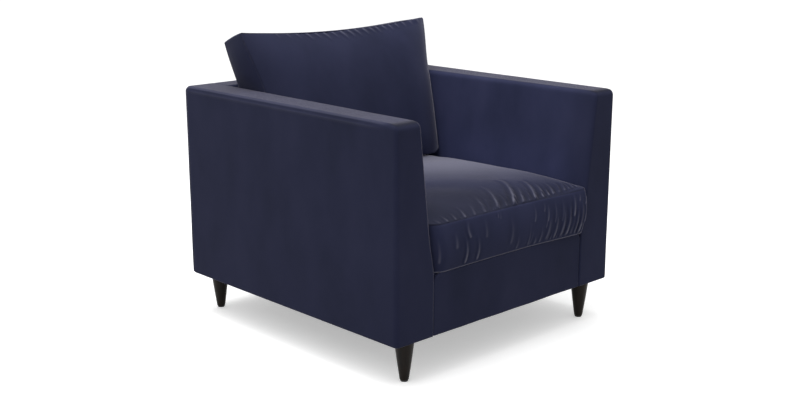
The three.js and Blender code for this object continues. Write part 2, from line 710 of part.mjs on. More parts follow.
function backCushionSolid(depth) {
  const low = BACK_CUSHION_BASE + depth;
  const high = BACK_CUSHION_BASE + BACK_CUSHION_RISE;
  const topFront = BACK_CUSHION_FRONT_Y + BACK_CUSHION_LEAN;
  const topRear = topFront + BACK_CUSHION_TOP_DEPTH;
  const tilt = Math.atan2(BACK_CUSHION_LEAN, BACK_CUSHION_RISE);
  const inFromTop = depth * Math.cos(tilt);
  const inFromFront = depth * Math.sin(tilt);
  const frontShift = depth / Math.cos(tilt);
  const sideView = prism("x", [
    [BACK_CUSHION_FRONT_Y + frontShift, low, BACK_CUSHION_CORNER - depth],
    [BACK_CUSHION_REAR_Y - frontShift, low, BACK_CUSHION_CORNER - depth],
    [topRear - inFromTop - inFromFront, high - BACK_CUSHION_TOP_DROP - inFromTop, BACK_CUSHION_EDGE - depth],
    [topFront + inFromTop - inFromFront, high - inFromTop - inFromFront, BACK_CUSHION_EDGE - depth],
  ], -WIDTH, WIDTH);
  const middle = BODY_TOP;
  const frontView = prism("y", [
    [-backCushionHalf(low) + depth, low],
    [backCushionHalf(low) - depth, low],
    [backCushionHalf(middle) - depth, middle],
    [backCushionHalf(high) - depth, high],
    [-backCushionHalf(high) + depth, high],
    [-backCushionHalf(middle) + depth, middle],
  ], -DEPTH, DEPTH);
  return sideView.intersect(frontView);
}

// A zip slider with its pull lying flat, around the origin: length along X, thickness along Y.
function sliderSolid() {
  const height = ZIP_GROOVE_HEIGHT - 2 * GAP;
  const taper = height / 2 - 2;
  const half = SLIDER_LENGTH / 2;
  const bodyOutline = [
    [-half, -taper],
    [half, -height / 2],
    [half, height / 2],
    [-half, taper],
  ];
  const body = prism("y", bodyOutline, 0, SLIDER_THICKNESS);
  const overlap = 2;
  const pull = box(
    [half - overlap, 0.4, -PULL_WIDTH / 2],
    [half - overlap + PULL_LENGTH, 0.4 + PULL_THICKNESS, PULL_WIDTH / 2],
  );
  return body.add(pull);
}

function buildSeatCushion() {
  const z = (CUSHION_BASE + CUSHION_TOP) / 2;
  const grooveBase = CUSHION_REAR_Y - ZIP_GROOVE_DEPTH;
  const reach = ZIP_HALF_LENGTH + PULL_LENGTH + SLIDER_LENGTH;
  const half = ZIP_GROOVE_HEIGHT / 2;
  const groove = box([-reach, grooveBase, z - half], [reach, CUSHION_REAR_Y + 1, z + half]);
  const slot = box(
    [-ZIP_HALF_LENGTH, grooveBase - CUSHION_COVER, z - ZIP_SLOT / 2],
    [ZIP_HALF_LENGTH, grooveBase + 1, z + ZIP_SLOT / 2],
  );
  const shell = seatCushionSolid(0).subtract(seatCushionSolid(CUSHION_COVER));
  add("seat_cushion_cover", shell.subtract(groove).subtract(slot), UPHOLSTERY);
  add("seat_cushion_core", seatCushionSolid(CUSHION_COVER + CORE_GAP), FOAM);
  const slider = add("seat_zip_slider", sliderSolid(), STEEL);
  slider.position.set(ZIP_HALF_LENGTH, grooveBase + GAP, z);
}

function buildBackCushion() {
  const y = (BACK_CUSHION_FRONT_Y + BACK_CUSHION_REAR_Y) / 2;
  const grooveRoof = BACK_CUSHION_BASE + ZIP_GROOVE_DEPTH;
  const reach = ZIP_HALF_LENGTH + PULL_LENGTH + SLIDER_LENGTH;
  const half = ZIP_GROOVE_HEIGHT / 2;
  const groove = box([-reach, y - half, BACK_CUSHION_BASE - 1], [reach, y + half, grooveRoof]);
  const slot = box(
    [-ZIP_HALF_LENGTH, y - ZIP_SLOT / 2, grooveRoof - 1],
    [ZIP_HALF_LENGTH, y + ZIP_SLOT / 2, grooveRoof + CUSHION_COVER],
  );
  const shell = backCushionSolid(0).subtract(backCushionSolid(CUSHION_COVER));
  add("back_cushion_cover", shell.subtract(groove).subtract(slot), UPHOLSTERY);
  add("back_cushion_core", backCushionSolid(CUSHION_COVER + CORE_GAP), FOAM);
  const slider = add("back_zip_slider", sliderSolid(), STEEL);
  slider.rotation.x = -Math.PI / 2;
  slider.position.set(ZIP_HALF_LENGTH, y, grooveRoof - GAP);
}

// ---- The chair ----

buildSeatRails();
for (const [name, side] of Object.entries(SIDES)) buildArmFrame(name, side);
buildBackFrame();
for (const place of LEG_PLACES) {
  buildCornerBlock(place);
  buildLeg(place);
}
for (let index = 0; index < SPRING_COUNT; index += 1) buildSpring(index);
for (let index = 0; index < STRAP_COUNT; index += 1) buildStrap(index);
buildDeck();
buildLayer(FOAM_SKIN, UNDER_FOAM, "arm_foam", "back_foam", FOAM);
buildLayer(SKIN, UNDER_COVER, "arm_cover", "back_cover", UPHOLSTERY);
buildOutsideBack();
buildFrontBorder();
buildDustCover();
buildSeatCushion();
buildBackCushion();

export default chair;
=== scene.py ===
"""The looks of the upholstered armchair, built around its CAD frame. Metres, +Z up, front towards -Y."""

import json
import math

import bmesh
import bpy
import numpy as np
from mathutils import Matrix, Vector


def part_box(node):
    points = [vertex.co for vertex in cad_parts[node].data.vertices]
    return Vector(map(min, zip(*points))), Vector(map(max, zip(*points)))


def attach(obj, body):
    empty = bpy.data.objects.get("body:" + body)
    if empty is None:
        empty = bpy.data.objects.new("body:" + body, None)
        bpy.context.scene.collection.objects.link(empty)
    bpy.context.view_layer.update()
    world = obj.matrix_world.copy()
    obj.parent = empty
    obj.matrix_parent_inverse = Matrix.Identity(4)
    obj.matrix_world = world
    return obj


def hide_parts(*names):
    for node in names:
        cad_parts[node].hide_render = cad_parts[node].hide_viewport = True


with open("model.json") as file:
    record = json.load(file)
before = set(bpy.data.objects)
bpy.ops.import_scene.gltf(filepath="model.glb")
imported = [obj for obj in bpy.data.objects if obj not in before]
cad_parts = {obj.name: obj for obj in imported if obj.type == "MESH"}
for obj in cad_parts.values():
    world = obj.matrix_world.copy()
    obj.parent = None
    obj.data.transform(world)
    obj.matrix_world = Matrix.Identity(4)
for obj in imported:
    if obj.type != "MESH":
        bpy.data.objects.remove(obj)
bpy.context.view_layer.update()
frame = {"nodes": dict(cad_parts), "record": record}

MM = 0.001

# ---- Places taken from the frame ----

ARM_LOW, ARM_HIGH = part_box("arm_cover_right")
PANEL_LOW, PANEL_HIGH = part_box("outside_back")
BORDER_LOW, BORDER_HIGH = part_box("front_border")
DECK_LOW, DECK_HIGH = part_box("seat_deck")
SEAT_LOW, SEAT_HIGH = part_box("seat_cushion_cover")
DUST_LOW, DUST_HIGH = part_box("dust_cover")
SEAT_ZIP_LOW, SEAT_ZIP_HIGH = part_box("seat_zip_slider")
BACK_ZIP_LOW, BACK_ZIP_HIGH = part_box("back_zip_slider")
SEAT_ZIP_Z = (SEAT_ZIP_LOW.z + SEAT_ZIP_HIGH.z) / 2
BACK_ZIP_Y = (BACK_ZIP_LOW.y + BACK_ZIP_HIGH.y) / 2
SEAT_REAR_Y = SEAT_HIGH.y - 0.5 * MM

HALF_WIDTH = ARM_HIGH.x
FRONT_Y = ARM_LOW.y
REAR_Y = PANEL_HIGH.y
BODY_TOP = ARM_HIGH.z
BODY_BASE = ARM_LOW.z
BASE_INNER_X = ARM_LOW.x
BASE_INNER_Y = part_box("back_cover")[0].y
DECK_TOP = DECK_HIGH.z

# ---- Sizes of the upholstery that its box doesn't give ----

ARM_TOP_FRONT = 87 * MM
ARM_TOP_REAR = 110 * MM
BACK_TOP = 90 * MM
FRONT_CORNER = 14 * MM
REAR_CORNER = 7 * MM
TOP_EDGE = 15 * MM
HEM_EDGE = 4 * MM
FINE_EDGE = 24 * MM
PANEL_EDGE = 5 * MM
ARM_ROLL = 32 * MM
ARM_ROLL_DROP = 4 * MM
ARM_FOLD = 14.5 * MM
ARM_FOLD_WIDTH = 2.6 * MM
ARM_FULLNESS = 2.5 * MM
COVER_SPACING = 14 * MM
PADDING_SPACING = 30 * MM


# ---- Meshes: a closed block is a belt of wall rows round a plan, with a cap at each end ----


class Block:
    """A closed quad mesh. u and v run 0..1 across the plan, and row counts the wall rows from the base."""

    def __init__(self, u_lines, v_lines, rows):
        self.rows = rows
        nu, nv = len(u_lines) - 1, len(v_lines) - 1
        ring = [(i, 0) for i in range(nu)] + [(nu, j) for j in range(nv)]
        ring += [(i, nv) for i in range(nu, 0, -1)] + [(0, j) for j in range(nv, 0, -1)]
        self.ring_size = len(ring)
        cells, row_of = [], []
        for row in range(rows):
            cells += ring
            row_of += [row] * len(ring)
        inner = [(i, j) for j in range(1, nv) for i in range(1, nu)]
        place = {}
        for row in (0, rows - 1):
            index = {cell: row * len(ring) + n for n, cell in enumerate(ring)}
            index.update({cell: len(cells) + n for n, cell in enumerate(inner)})
            place[row] = index
            cells += inner
            row_of += [row] * len(inner)
        cells = np.array(cells)
        self.u = np.asarray(u_lines, float)[cells[:, 0]]
        self.v = np.asarray(v_lines, float)[cells[:, 1]]
        self.row = np.array(row_of)
        self.wall = np.arange(len(cells)) < rows * len(ring)
        self.faces = []
        for row in range(rows - 1):
            for n in range(len(ring)):
                low, high = row * len(ring), (row + 1) * len(ring)
                after = (n + 1) % len(ring)
                self.faces.append((low + n, low + after, high + after, high + n))
        base, top = place[0], place[rows - 1]
        for j in range(nv):
            for i in range(nu):
                corners = [(i, j), (i + 1, j), (i + 1, j + 1), (i, j + 1)]
                self.faces.append(tuple(top[c] for c in corners))
                self.faces.append(tuple(base[c] for c in reversed(corners)))

    def ring(self, row):
        """The vertices round the wall at a row, in order."""
        return np.arange(row * self.ring_size, (row + 1) * self.ring_size)


def even_lines(length, spacing, edge=0.0, edge_steps=0):
    """0..1 positions along a length: evenly spaced, with finer ones in a stretch at both ends."""
    steps = max(int(round((length - 2 * edge) / spacing)), 1)
    middle = np.linspace(edge, length - edge, steps + 1)
    if edge_steps:
        ends = np.linspace(0, edge, edge_steps + 1)[:-1]
        middle = np.concatenate([ends, middle, (length - ends)[::-1]])
    return middle / length


def round_plan(x, y, half_x, half_y, radii):
    """Turns a centred rectangle's corners into arcs. radii are for (-x,-y), (x,-y), (x,y), (-x,y)."""
    x, y = x.copy(), y.copy()
    for (sx, sy), radius in zip(((-1, -1), (1, -1), (1, 1), (-1, 1)), radii):
        radius = np.maximum(radius, 0.2 * MM)
        p = sx * x - (half_x - radius)
        q = sy * y - (half_y - radius)
        inside = (p > 0) & (q > 0)
        longer, shorter = np.maximum(p, q), np.minimum(p, q)
        angle = math.pi / 4 * shorter / np.maximum(longer, 1e-9)
        near, far = longer * np.sin(angle), longer * np.cos(angle)
        new_p, new_q = np.where(p > q, far, near), np.where(p > q, near, far)
        x = np.where(inside, sx * (half_x - radius + new_p), x)
        y = np.where(inside, sy * (half_y - radius + new_q), y)
    return x, y


def row_values(block, rows):
    """Each vertex's height and inset, from the rows' pairs."""
    heights, insets = np.array(rows).T
    return heights[block.row], insets[block.row]


def slab_plan(block, size_x, size_y, inset, radii):
    """The x and y of a block's vertices about its middle, drawn in by the inset, with round corners."""
    half_x, half_y = size_x / 2 - inset, size_y / 2 - inset
    x, y = (2 * block.u - 1) * half_x, (2 * block.v - 1) * half_y
    return round_plan(x, y, half_x, half_y, [radius - inset for radius in radii])


def arc_rows(radius, steps):
    """(depth below the edge, inset) pairs round a quarter circle, from the wall to the cap."""
    angles = np.linspace(0, math.pi / 2, steps + 1)
    return [(radius * (1 - math.sin(a)), radius * (1 - math.cos(a))) for a in angles]


def slab_rows(thickness, edge, steps):
    """(depth, inset) for the rows of a slab, from its square back to its rounded face."""
    return [(0.0, 0.0)] + [(thickness - depth, inset) for depth, inset in arc_rows(edge, steps)]


def smoothstep(x, low, high):
    t = np.clip((x - low) / (high - low), 0, 1)
    return t * t * (3 - 2 * t)


def rise(distance, reach, power):
    """0 at an edge, rising steeply and then levelling out at 1 when the reach is passed."""
    return 1 - (1 - np.clip(distance / reach, 0, 1)) ** power


def bell(distance, width):
    """1 at no distance, falling smoothly to nothing past the width."""
    return np.exp(-((distance / width) ** 2))


def waves(points, wavelength, count, seed):
    """A smooth seeded undulation between about -1 and 1 at each point."""
    source = np.random.default_rng(seed)
    total = np.zeros(len(points))
    for _ in range(count):
        direction = source.normal(size=3)
        direction /= np.linalg.norm(direction)
        length = wavelength * source.uniform(0.7, 1.5)
        total += np.sin(points @ direction * 2 * math.pi / length + source.uniform(0, 2 * math.pi))
    return total / math.sqrt(count)


def make_mesh(name, points, faces):
    mesh = bpy.data.meshes.new(name)
    mesh.from_pydata(np.asarray(points).tolist(), [], [tuple(f) for f in faces])
    mesh.validate()
    mesh.polygons.foreach_set("use_smooth", [True] * len(mesh.polygons))
    mesh.update()
    obj = bpy.data.objects.new(name, mesh)
    bpy.context.scene.collection.objects.link(obj)
    return obj


def get_points(obj):
    points = np.zeros(len(obj.data.vertices) * 3)
    obj.data.vertices.foreach_get("co", points)
    return points.reshape(-1, 3)


def set_points(obj, points):
    obj.data.vertices.foreach_set("co", np.asarray(points, float).ravel())
    obj.data.update()


def get_normals(obj):
    normals = np.zeros(len(obj.data.vertices) * 3)
    obj.data.vertex_normals.foreach_get("vector", normals)
    return normals.reshape(-1, 3)


def set_attribute(obj, name, values):
    attribute = obj.data.attributes.get(name) or obj.data.attributes.new(name, "FLOAT", "POINT")
    attribute.data.foreach_set("value", np.asarray(values, np.float32))


def get_attribute(obj, name):
    values = np.zeros(len(obj.data.vertices), np.float32)
    obj.data.attributes[name].data.foreach_get("value", values)
    return values.astype(float)


def refine(obj):
    """Subdivides the mesh once for good, with its attributes."""
    modifier = obj.modifiers.new("refine", "SUBSURF")
    modifier.levels = 1
    bpy.context.view_layer.update()
    finer = bpy.data.meshes.new_from_object(obj.evaluated_get(bpy.context.evaluated_depsgraph_get()))
    obj.modifiers.remove(modifier)
    obj.data = finer
    finer.polygons.foreach_set("use_smooth", [True] * len(finer.polygons))


def refine_with(obj, marks):
    """Refines the mesh and returns the marks' values at its new vertices."""
    for name, values in marks.items():
        set_attribute(obj, name, values)
    refine(obj)
    return [get_attribute(obj, name) for name in marks]


def face_outwards(obj):
    """Turns the faces outwards if the closed mesh is inside out."""
    work = bmesh.new()
    work.from_mesh(obj.data)
    if work.calc_volume(signed=True) < 0:
        bmesh.ops.reverse_faces(work, faces=work.faces)
        work.to_mesh(obj.data)
    work.free()
    obj.data.update()
    return obj


def graded_lines(length, runs):
    """0..1 positions along a length, from (end of run, spacing) pairs in metres."""
    places = [0.0]
    for end, spacing in runs:
        steps = max(int(round((end - places[-1]) / spacing)), 1)
        places += list(np.linspace(places[-1], end, steps + 1)[1:])
    return np.array(places) / length


def crease_push(across, along, path, width):
    """How strongly each point lies on a crease and in the dip beside it, 0..1. path is (across, along)."""
    path = np.asarray(path, float)
    near = (across > path[:, 0].min() - 4 * width) & (across < path[:, 0].max() + 4 * width)
    near &= (along > path[:, 1].min() - 2 * width) & (along < path[:, 1].max() + 2 * width)
    ridge, dip = np.zeros(len(across)), np.zeros(len(across))
    if not near.any():
        return ridge, dip
    spots = np.stack([across[near], along[near]], 1)
    best = np.full(len(spots), 1e9)
    share = np.zeros(len(spots))
    pieces = len(path) - 1
    for i in range(pieces):
        start, way = path[i], path[i + 1] - path[i]
        t = np.clip((spots - start) @ way / (way @ way), 0, 1)
        distance = np.linalg.norm(spots - start - t[:, None] * way, axis=1)
        closer = distance < best
        best = np.where(closer, distance, best)
        share = np.where(closer, (i + t) / pieces, share)
    fade = smoothstep(share, -0.02, 0.12) * (1 - share) ** 0.6
    ridge[near] = bell(best, width) * fade
    dip[near] = bell(best - 1.9 * width, width) * fade
    return ridge, dip


def subdivide(obj):
    modifier = obj.modifiers.new("smooth", "SUBSURF")
    modifier.levels = 1
    modifier.render_levels = 1


def tube_shape(points, radius, sides=8, closed=True):
    """The points and faces of a round cord."""
    points = np.asarray(points, float)
    after, before = np.roll(points, -1, 0), np.roll(points, 1, 0)
    if not closed:
        after[-1], before[0] = points[-1], points[0]
    along = after - before
    along /= np.linalg.norm(along, axis=1)[:, None]
    reference = np.array([0.31, 0.17, 0.93])
    side = np.cross(along, reference)
    side /= np.linalg.norm(side, axis=1)[:, None]
    for i in range(1, len(points)):
        turned = side[i - 1] - along[i] * (side[i - 1] @ along[i])
        side[i] = turned / np.linalg.norm(turned)
    up = np.cross(along, side)
    angles = np.linspace(0, 2 * math.pi, sides, endpoint=False)
    rings = [points + radius * (math.cos(a) * side + math.sin(a) * up) for a in angles]
    co = np.stack(rings, 1).reshape(-1, 3)
    faces = []
    count = len(points)
    for i in range(count if closed else count - 1):
        j = (i + 1) % count
        for k in range(sides):
            m = (k + 1) % sides
            faces.append((i * sides + k, i * sides + m, j * sides + m, j * sides + k))
    if not closed:
        faces.append(tuple(range(sides))[::-1])
        faces.append(tuple((count - 1) * sides + k for k in range(sides)))
    if closed:
        # the last ring may be turned against the first, so the closing faces follow the nearest vertices
        first, last = co[:sides], co[-sides:]
        shift = int(np.argmin([np.linalg.norm(np.roll(first, -s, 0) - last) for s in range(sides)]))
        faces = faces[: (count - 1) * sides]
        for k in range(sides):
            m = (k + 1) % sides
            base = (count - 1) * sides
            faces.append((base + k, base + m, (m + shift) % sides, (k + shift) % sides))
    return co, faces


def merged_mesh(name, shapes):
    """One mesh of several separate shapes, each given as (points, faces), all facing outwards."""
    points, faces, count = [], [], 0
    for shape_points, shape_faces in shapes:
        points.append(np.asarray(shape_points, float))
        faces += [tuple(count + k for k in face) for face in shape_faces]
        count += len(shape_points)
    obj = make_mesh(name, np.concatenate(points), faces)
    work = bmesh.new()
    work.from_mesh(obj.data)
    bmesh.ops.recalc_face_normals(work, faces=work.faces)
    work.to_mesh(obj.data)
    work.free()
    return obj


# ---- Materials ----


class Nodes:
    """A material's node tree, with short calls for the nodes that the materials here share."""

    def __init__(self, name):
        self.material = bpy.data.materials.new(name)
        self.material.use_nodes = True
        self.tree = self.material.node_tree
        self.shader = self.tree.nodes["Principled BSDF"]

    def add(self, kind, **settings):
        node = self.tree.nodes.new(kind)
        for key, value in settings.items():
            setattr(node, key, value)
        return node

    def link(self, output, socket):
        self.tree.links.new(output, socket)

    def set(self, **values):
        for key, value in values.items():
            self.shader.inputs[key.replace("_", " ")].default_value = value

    def place(self):
        if not hasattr(self, "_place"):
            self._place = self.add("ShaderNodeTexCoord").outputs["Object"]
        return self._place

    def noise(self, scale, detail=2.0, roughness=0.5, stretch=None):
        node = self.add("ShaderNodeTexNoise")
        node.inputs["Scale"].default_value = scale
        node.inputs["Detail"].default_value = detail
        node.inputs["Roughness"].default_value = roughness
        if stretch is None:
            self.link(self.place(), node.inputs["Vector"])
        else:
            mapping = self.add("ShaderNodeMapping")
            mapping.inputs["Scale"].default_value = stretch
            self.link(self.place(), mapping.inputs["Vector"])
            self.link(mapping.outputs["Vector"], node.inputs["Vector"])
        return node.outputs["Fac"]

    def ramp(self, value, stops):
        node = self.add("ShaderNodeValToRGB")
        ramp = node.color_ramp
        while len(ramp.elements) < len(stops):
            ramp.elements.new(0.5)
        for element, (position, colour) in zip(ramp.elements, stops):
            element.position = position
            element.color = (*colour, 1)
        self.link(value, node.inputs["Fac"])
        return node.outputs["Color"]

    def mix(self, factor, a, b, blend="MIX"):
        node = self.add("ShaderNodeMix", data_type="RGBA", blend_type=blend)
        if isinstance(factor, float):
            node.inputs["Factor"].default_value = factor
        else:
            self.link(factor, node.inputs["Factor"])
        for value, socket in ((a, node.inputs[6]), (b, node.inputs[7])):
            if isinstance(value, tuple):
                socket.default_value = (*value, 1)
            else:
                self.link(value, socket)
        return node.outputs[2]

    def math(self, operation, a, b=0.0):
        node = self.add("ShaderNodeMath", operation=operation)
        for value, socket in ((a, node.inputs[0]), (b, node.inputs[1])):
            if isinstance(value, float):
                socket.default_value = value
            else:
                self.link(value, socket)
        return node.outputs[0]

    def attribute(self, name):
        return self.add("ShaderNodeAttribute", attribute_name=name).outputs["Fac"]

    def bump(self, height, strength, distance):
        node = self.add("ShaderNodeBump")
        node.inputs["Strength"].default_value = strength
        node.inputs["Distance"].default_value = distance
        self.link(height, node.inputs["Height"])
        self.link(node.outputs["Normal"], self.shader.inputs["Normal"])

    def colour(self, output):
        self.link(output, self.shader.inputs["Base Color"])


NAVY_DARK = (0.0126, 0.0152, 0.0385)
NAVY = (0.0166, 0.0193, 0.0475)
NAVY_LIGHT = (0.0212, 0.024, 0.0555)
# the painted sheen highlight colour and the painted shade colour that are mixed into the velvet
PAINTED_SHEEN_COLOUR = (0.2, 0.2, 0.26)
PAINTED_SHADE_COLOUR = (0.004, 0.0045, 0.011)
SHEEN = 0.55
SHEEN_ROUGHNESS = 0.22
SHEEN_TINT = (0.86, 0.81, 0.88, 1)


def velvet_material(name, painted_sheen_lift=0.0):
    """Short-pile velvet. Two attributes paint light into its colour: one mixes in a painted sheen highlight
    where it is positive and painted shade where it is negative, on seams, creases, edges and faces; the other
    scales the colour lighter or darker for the light each part gets.
    """
    n = Nodes(name)
    pile_patches_and_sheen_slope = n.noise(7.0, 3.0, 0.55, (1.0, 1.0, 0.55))
    tone = n.ramp(pile_patches_and_sheen_slope, [(0.3, NAVY_DARK), (0.52, NAVY), (0.78, NAVY_LIGHT)])
    pile = n.noise(1400.0, 2.0, 0.6)
    # painted light: the colour is scaled up or down for the light each part gets
    painted_level_factor = n.math("ADD", n.attribute("painted_light_level"), 1.0)
    level = n.add("ShaderNodeCombineXYZ")
    for axis in range(3):
        n.link(painted_level_factor, level.inputs[axis])
    tone = n.mix(1.0, tone, level.outputs[0], "MULTIPLY")
    speckle = n.ramp(pile, [(0.3, (0.82, 0.82, 0.84)), (0.7, (1.14, 1.14, 1.16))])
    tone = n.mix(1.0, tone, speckle, "MULTIPLY")
    # painted sheen highlight and painted shade: the colour is mixed towards the pale colour where the value
    # is positive and towards the dark one where it is negative
    sheen_and_shade_paint = n.math("ADD", n.attribute("painted_sheen_and_shade"), painted_sheen_lift)
    light = n.math("MINIMUM", n.math("MAXIMUM", sheen_and_shade_paint, 0.0), 1.0)
    dark = n.math("MINIMUM", n.math("MAXIMUM", n.math("MULTIPLY", sheen_and_shade_paint, -1.0), 0.0), 1.0)
    n.colour(n.mix(dark, n.mix(light, tone, PAINTED_SHEEN_COLOUR), PAINTED_SHADE_COLOUR))
    n.set(Roughness=0.85, Specular_IOR_Level=0.18)
    n.set(Sheen_Weight=SHEEN, Sheen_Roughness=SHEEN_ROUGHNESS, Sheen_Tint=SHEEN_TINT)
    height = n.math("ADD", pile, n.math("MULTIPLY", n.noise(160.0, 3.0, 0.6), 0.6))
    n.bump(height, 0.35, 0.0006)
    return n.material


def foam_material():
    n = Nodes("open_cell_foam")
    cells = n.add("ShaderNodeTexVoronoi")
    cells.inputs["Scale"].default_value = 420.0
    n.link(n.place(), cells.inputs["Vector"])
    tone = n.ramp(cells.outputs["Distance"], [(0.1, (0.52, 0.44, 0.26)), (0.6, (0.78, 0.7, 0.48))])
    n.colour(tone)
    n.set(Roughness=0.95)
    n.bump(cells.outputs["Distance"], 0.5, 0.001)
    return n.material


def cloth_material(name, dark, light, thread=900.0):
    """A plain woven or spun cloth, with threads both ways."""
    n = Nodes(name)
    across = n.noise(1.0, 2.0, 0.5, (thread, 60.0, thread))
    along = n.noise(1.0, 2.0, 0.5, (60.0, thread, thread))
    weave = n.math("MULTIPLY", across, along)
    n.colour(n.ramp(weave, [(0.15, dark), (0.4, light)]))
    n.set(Roughness=0.93, Sheen_Weight=0.2)
    n.bump(weave, 0.4, 0.0004)
    return n.material


def timber_material(name, dark, light, grain=(2.0, 26.0, 26.0), gloss=0.7, shine=0.5):
    """Wood with its grain along one axis, which is the small number in grain."""
    n = Nodes(name)
    wood = n.noise(3.0, 5.0, 0.62, grain)
    pores = n.noise(40.0, 2.0, 0.5, grain)
    tone = n.ramp(wood, [(0.32, dark), (0.68, light)])
    shade = n.ramp(pores, [(0.35, (0.7, 0.7, 0.7)), (0.55, (1.0, 1.0, 1.0))])
    n.colour(n.mix(1.0, tone, shade, "MULTIPLY"))
    n.link(n.ramp(pores, [(0.3, (gloss + 0.12,) * 3), (0.6, (gloss,) * 3)]), n.shader.inputs["Roughness"])
    n.set(Specular_IOR_Level=shine)
    n.bump(pores, 0.25, 0.0005)
    return n.material


def metal_material(name, dark, light, roughness=0.4):
    n = Nodes(name)
    worn = n.noise(90.0, 4.0, 0.6)
    n.colour(n.ramp(worn, [(0.3, dark), (0.7, light)]))
    gloss = n.ramp(worn, [(0.3, (roughness - 0.1,) * 3), (0.7, (roughness + 0.15,) * 3)])
    n.link(gloss, n.shader.inputs["Roughness"])
    n.set(Metallic=1.0)
    n.bump(n.noise(600.0, 2.0, 0.5), 0.15, 0.0003)
    return n.material


def plastic_material():
    n = Nodes("glide_nylon")
    mottled = n.noise(300.0, 2.0, 0.5)
    n.colour(n.ramp(mottled, [(0.3, (0.012, 0.012, 0.012)), (0.7, (0.03, 0.03, 0.03))]))
    n.set(Roughness=0.55)
    n.bump(mottled, 0.2, 0.0003)
    return n.material


VELVET = velvet_material("navy_velvet")
# a copy of the velvet painted paler all over, a painted sheen highlight for seam cords
SHEEN_PAINTED_SEAM_VELVET = velvet_material("navy_velvet_seam_painted_sheen", painted_sheen_lift=0.6)
FOAM = foam_material()
DECK_CLOTH = cloth_material("deck_cloth", (0.012, 0.013, 0.022), (0.034, 0.036, 0.055), 700.0)
DUST_CLOTH = cloth_material("dust_cloth", (0.006, 0.006, 0.007), (0.03, 0.03, 0.032), 420.0)
WEBBING = cloth_material("webbing", (0.015, 0.015, 0.017), (0.06, 0.06, 0.065), 1200.0)
FRAME_TIMBER = timber_material("beech", (0.36, 0.22, 0.11), (0.58, 0.4, 0.22))
LEG_DARK = (0.006, 0.0042, 0.0034)
LEG_LIGHT = (0.015, 0.0095, 0.0065)
LEG_WOOD = timber_material("dark_stained_leg", LEG_DARK, LEG_LIGHT, (30.0, 30.0, 2.5), 0.3, 0.12)
SPRING_STEEL = metal_material("spring_steel", (0.16, 0.16, 0.17), (0.34, 0.34, 0.35), 0.38)
CLIP_STEEL = metal_material("zinc_steel", (0.42, 0.42, 0.4), (0.62, 0.62, 0.58), 0.34)
ZIP_METAL = metal_material("zip_metal", (0.02, 0.02, 0.024), (0.06, 0.06, 0.07), 0.34)
GLIDE = plastic_material()


def paint(obj, material):
    obj.data.materials.clear()
    obj.data.materials.append(material)


def finish_piece(obj, body, slot, material, *stands_for):
    paint(obj, material)
    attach(obj, body)
    if stands_for:
        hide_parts(*stands_for)


def finish_pad(obj, body, slot, material, fullness, *stands_for):
    """Finishes a padded piece that is smoothed as it is drawn."""
    subdivide(obj)
    finish_piece(obj, body, slot, material, *stands_for)


# ---- The upholstered body ----


def smooth_low(a, b, width):
    """The lower of two values, turning smoothly from one to the other."""
    near = np.clip(0.5 + 0.5 * (b - a) / width, 0, 1)
    return b + (a - b) * near - width * near * (1 - near)


def lean_share(z):
    return np.clip((z - DECK_TOP) / (BODY_TOP - DECK_TOP), 0, None)


def arm_thickness(y, z):
    """An arm's thickness: it thins upwards, and less so towards the back."""
    base = HALF_WIDTH - BASE_INNER_X
    along = (y - FRONT_Y) / (REAR_Y - FRONT_Y)
    top = ARM_TOP_FRONT + (ARM_TOP_REAR - ARM_TOP_FRONT) * along
    share = np.clip(lean_share(z), 0, 1)
    # the inner face is drawn tight over the padding, so it is fuller than a straight twist in its middle
    one, other = share * (1 - along), along * (1 - share)
    fuller = (ARM_TOP_REAR - ARM_TOP_FRONT) * smooth_low(one, other, 0.16)
    return base + (top - base) * lean_share(z) + fuller


def inner_y(z):
    base = REAR_Y - BASE_INNER_Y
    return REAR_Y - (base + (BACK_TOP - base) * lean_share(z))


def upright_rows(low, high, spacing, top_radius, hem_radius=HEM_EDGE, steps=6):
    """(z, inset) for the rows of an upright block with a rounded hem and a rounded top edge."""
    hem = [(low + depth, inset) for depth, inset in reversed(arc_rows(hem_radius, 3))]
    top = [(high - depth, inset) for depth, inset in arc_rows(top_radius, steps)]
    count = max(int((high - top_radius - low - hem_radius) / spacing), 1)
    middle = np.linspace(low + hem_radius, high - top_radius, count + 1)[1:-1]
    return hem + [(z, 0.0) for z in middle] + top


def upright_block(name, low, high, radii, inset, warp):
    """A rounded upright block between two corners, warped to its faces. A radius may be a rule of height."""
    spacing = PADDING_SPACING if inset else COVER_SPACING
    top_radius = TOP_EDGE - inset
    size_x, size_y = high.x - low.x, high.y - low.y
    rows = upright_rows(low.z, high.z, spacing, top_radius)
    edge = max(top_radius, FINE_EDGE)
    lines = [even_lines(size, spacing, min(edge, size / 2.5), 6) for size in (size_x, size_y)]
    block = Block(*lines, len(rows))
    z, row_inset = row_values(block, rows)
    radii = [radius(z) if callable(radius) else radius for radius in radii]
    x, y = slab_plan(block, size_x, size_y, row_inset, radii)
    # the rear end butts against the outside back, so its top edge isn't rounded
    at_rear = np.isclose(block.v, 1) & (z > DECK_TOP)
    y = np.where(at_rear, size_y / 2, y)
    points = np.stack([x + (low.x + high.x) / 2, y + (low.y + high.y) / 2, z], 1)
    return make_mesh(name, warp(points), block.faces), block


def uneven(obj, amount, wavelength, seed, where=None):
    """Pushes a surface in and out a little, as padding under cloth does."""
    points, normals = get_points(obj), get_normals(obj)
    push = amount * waves(points, wavelength, 7, seed)
    if where is not None:
        push = push * where(points)
    set_points(obj, points + normals * push[:, None])


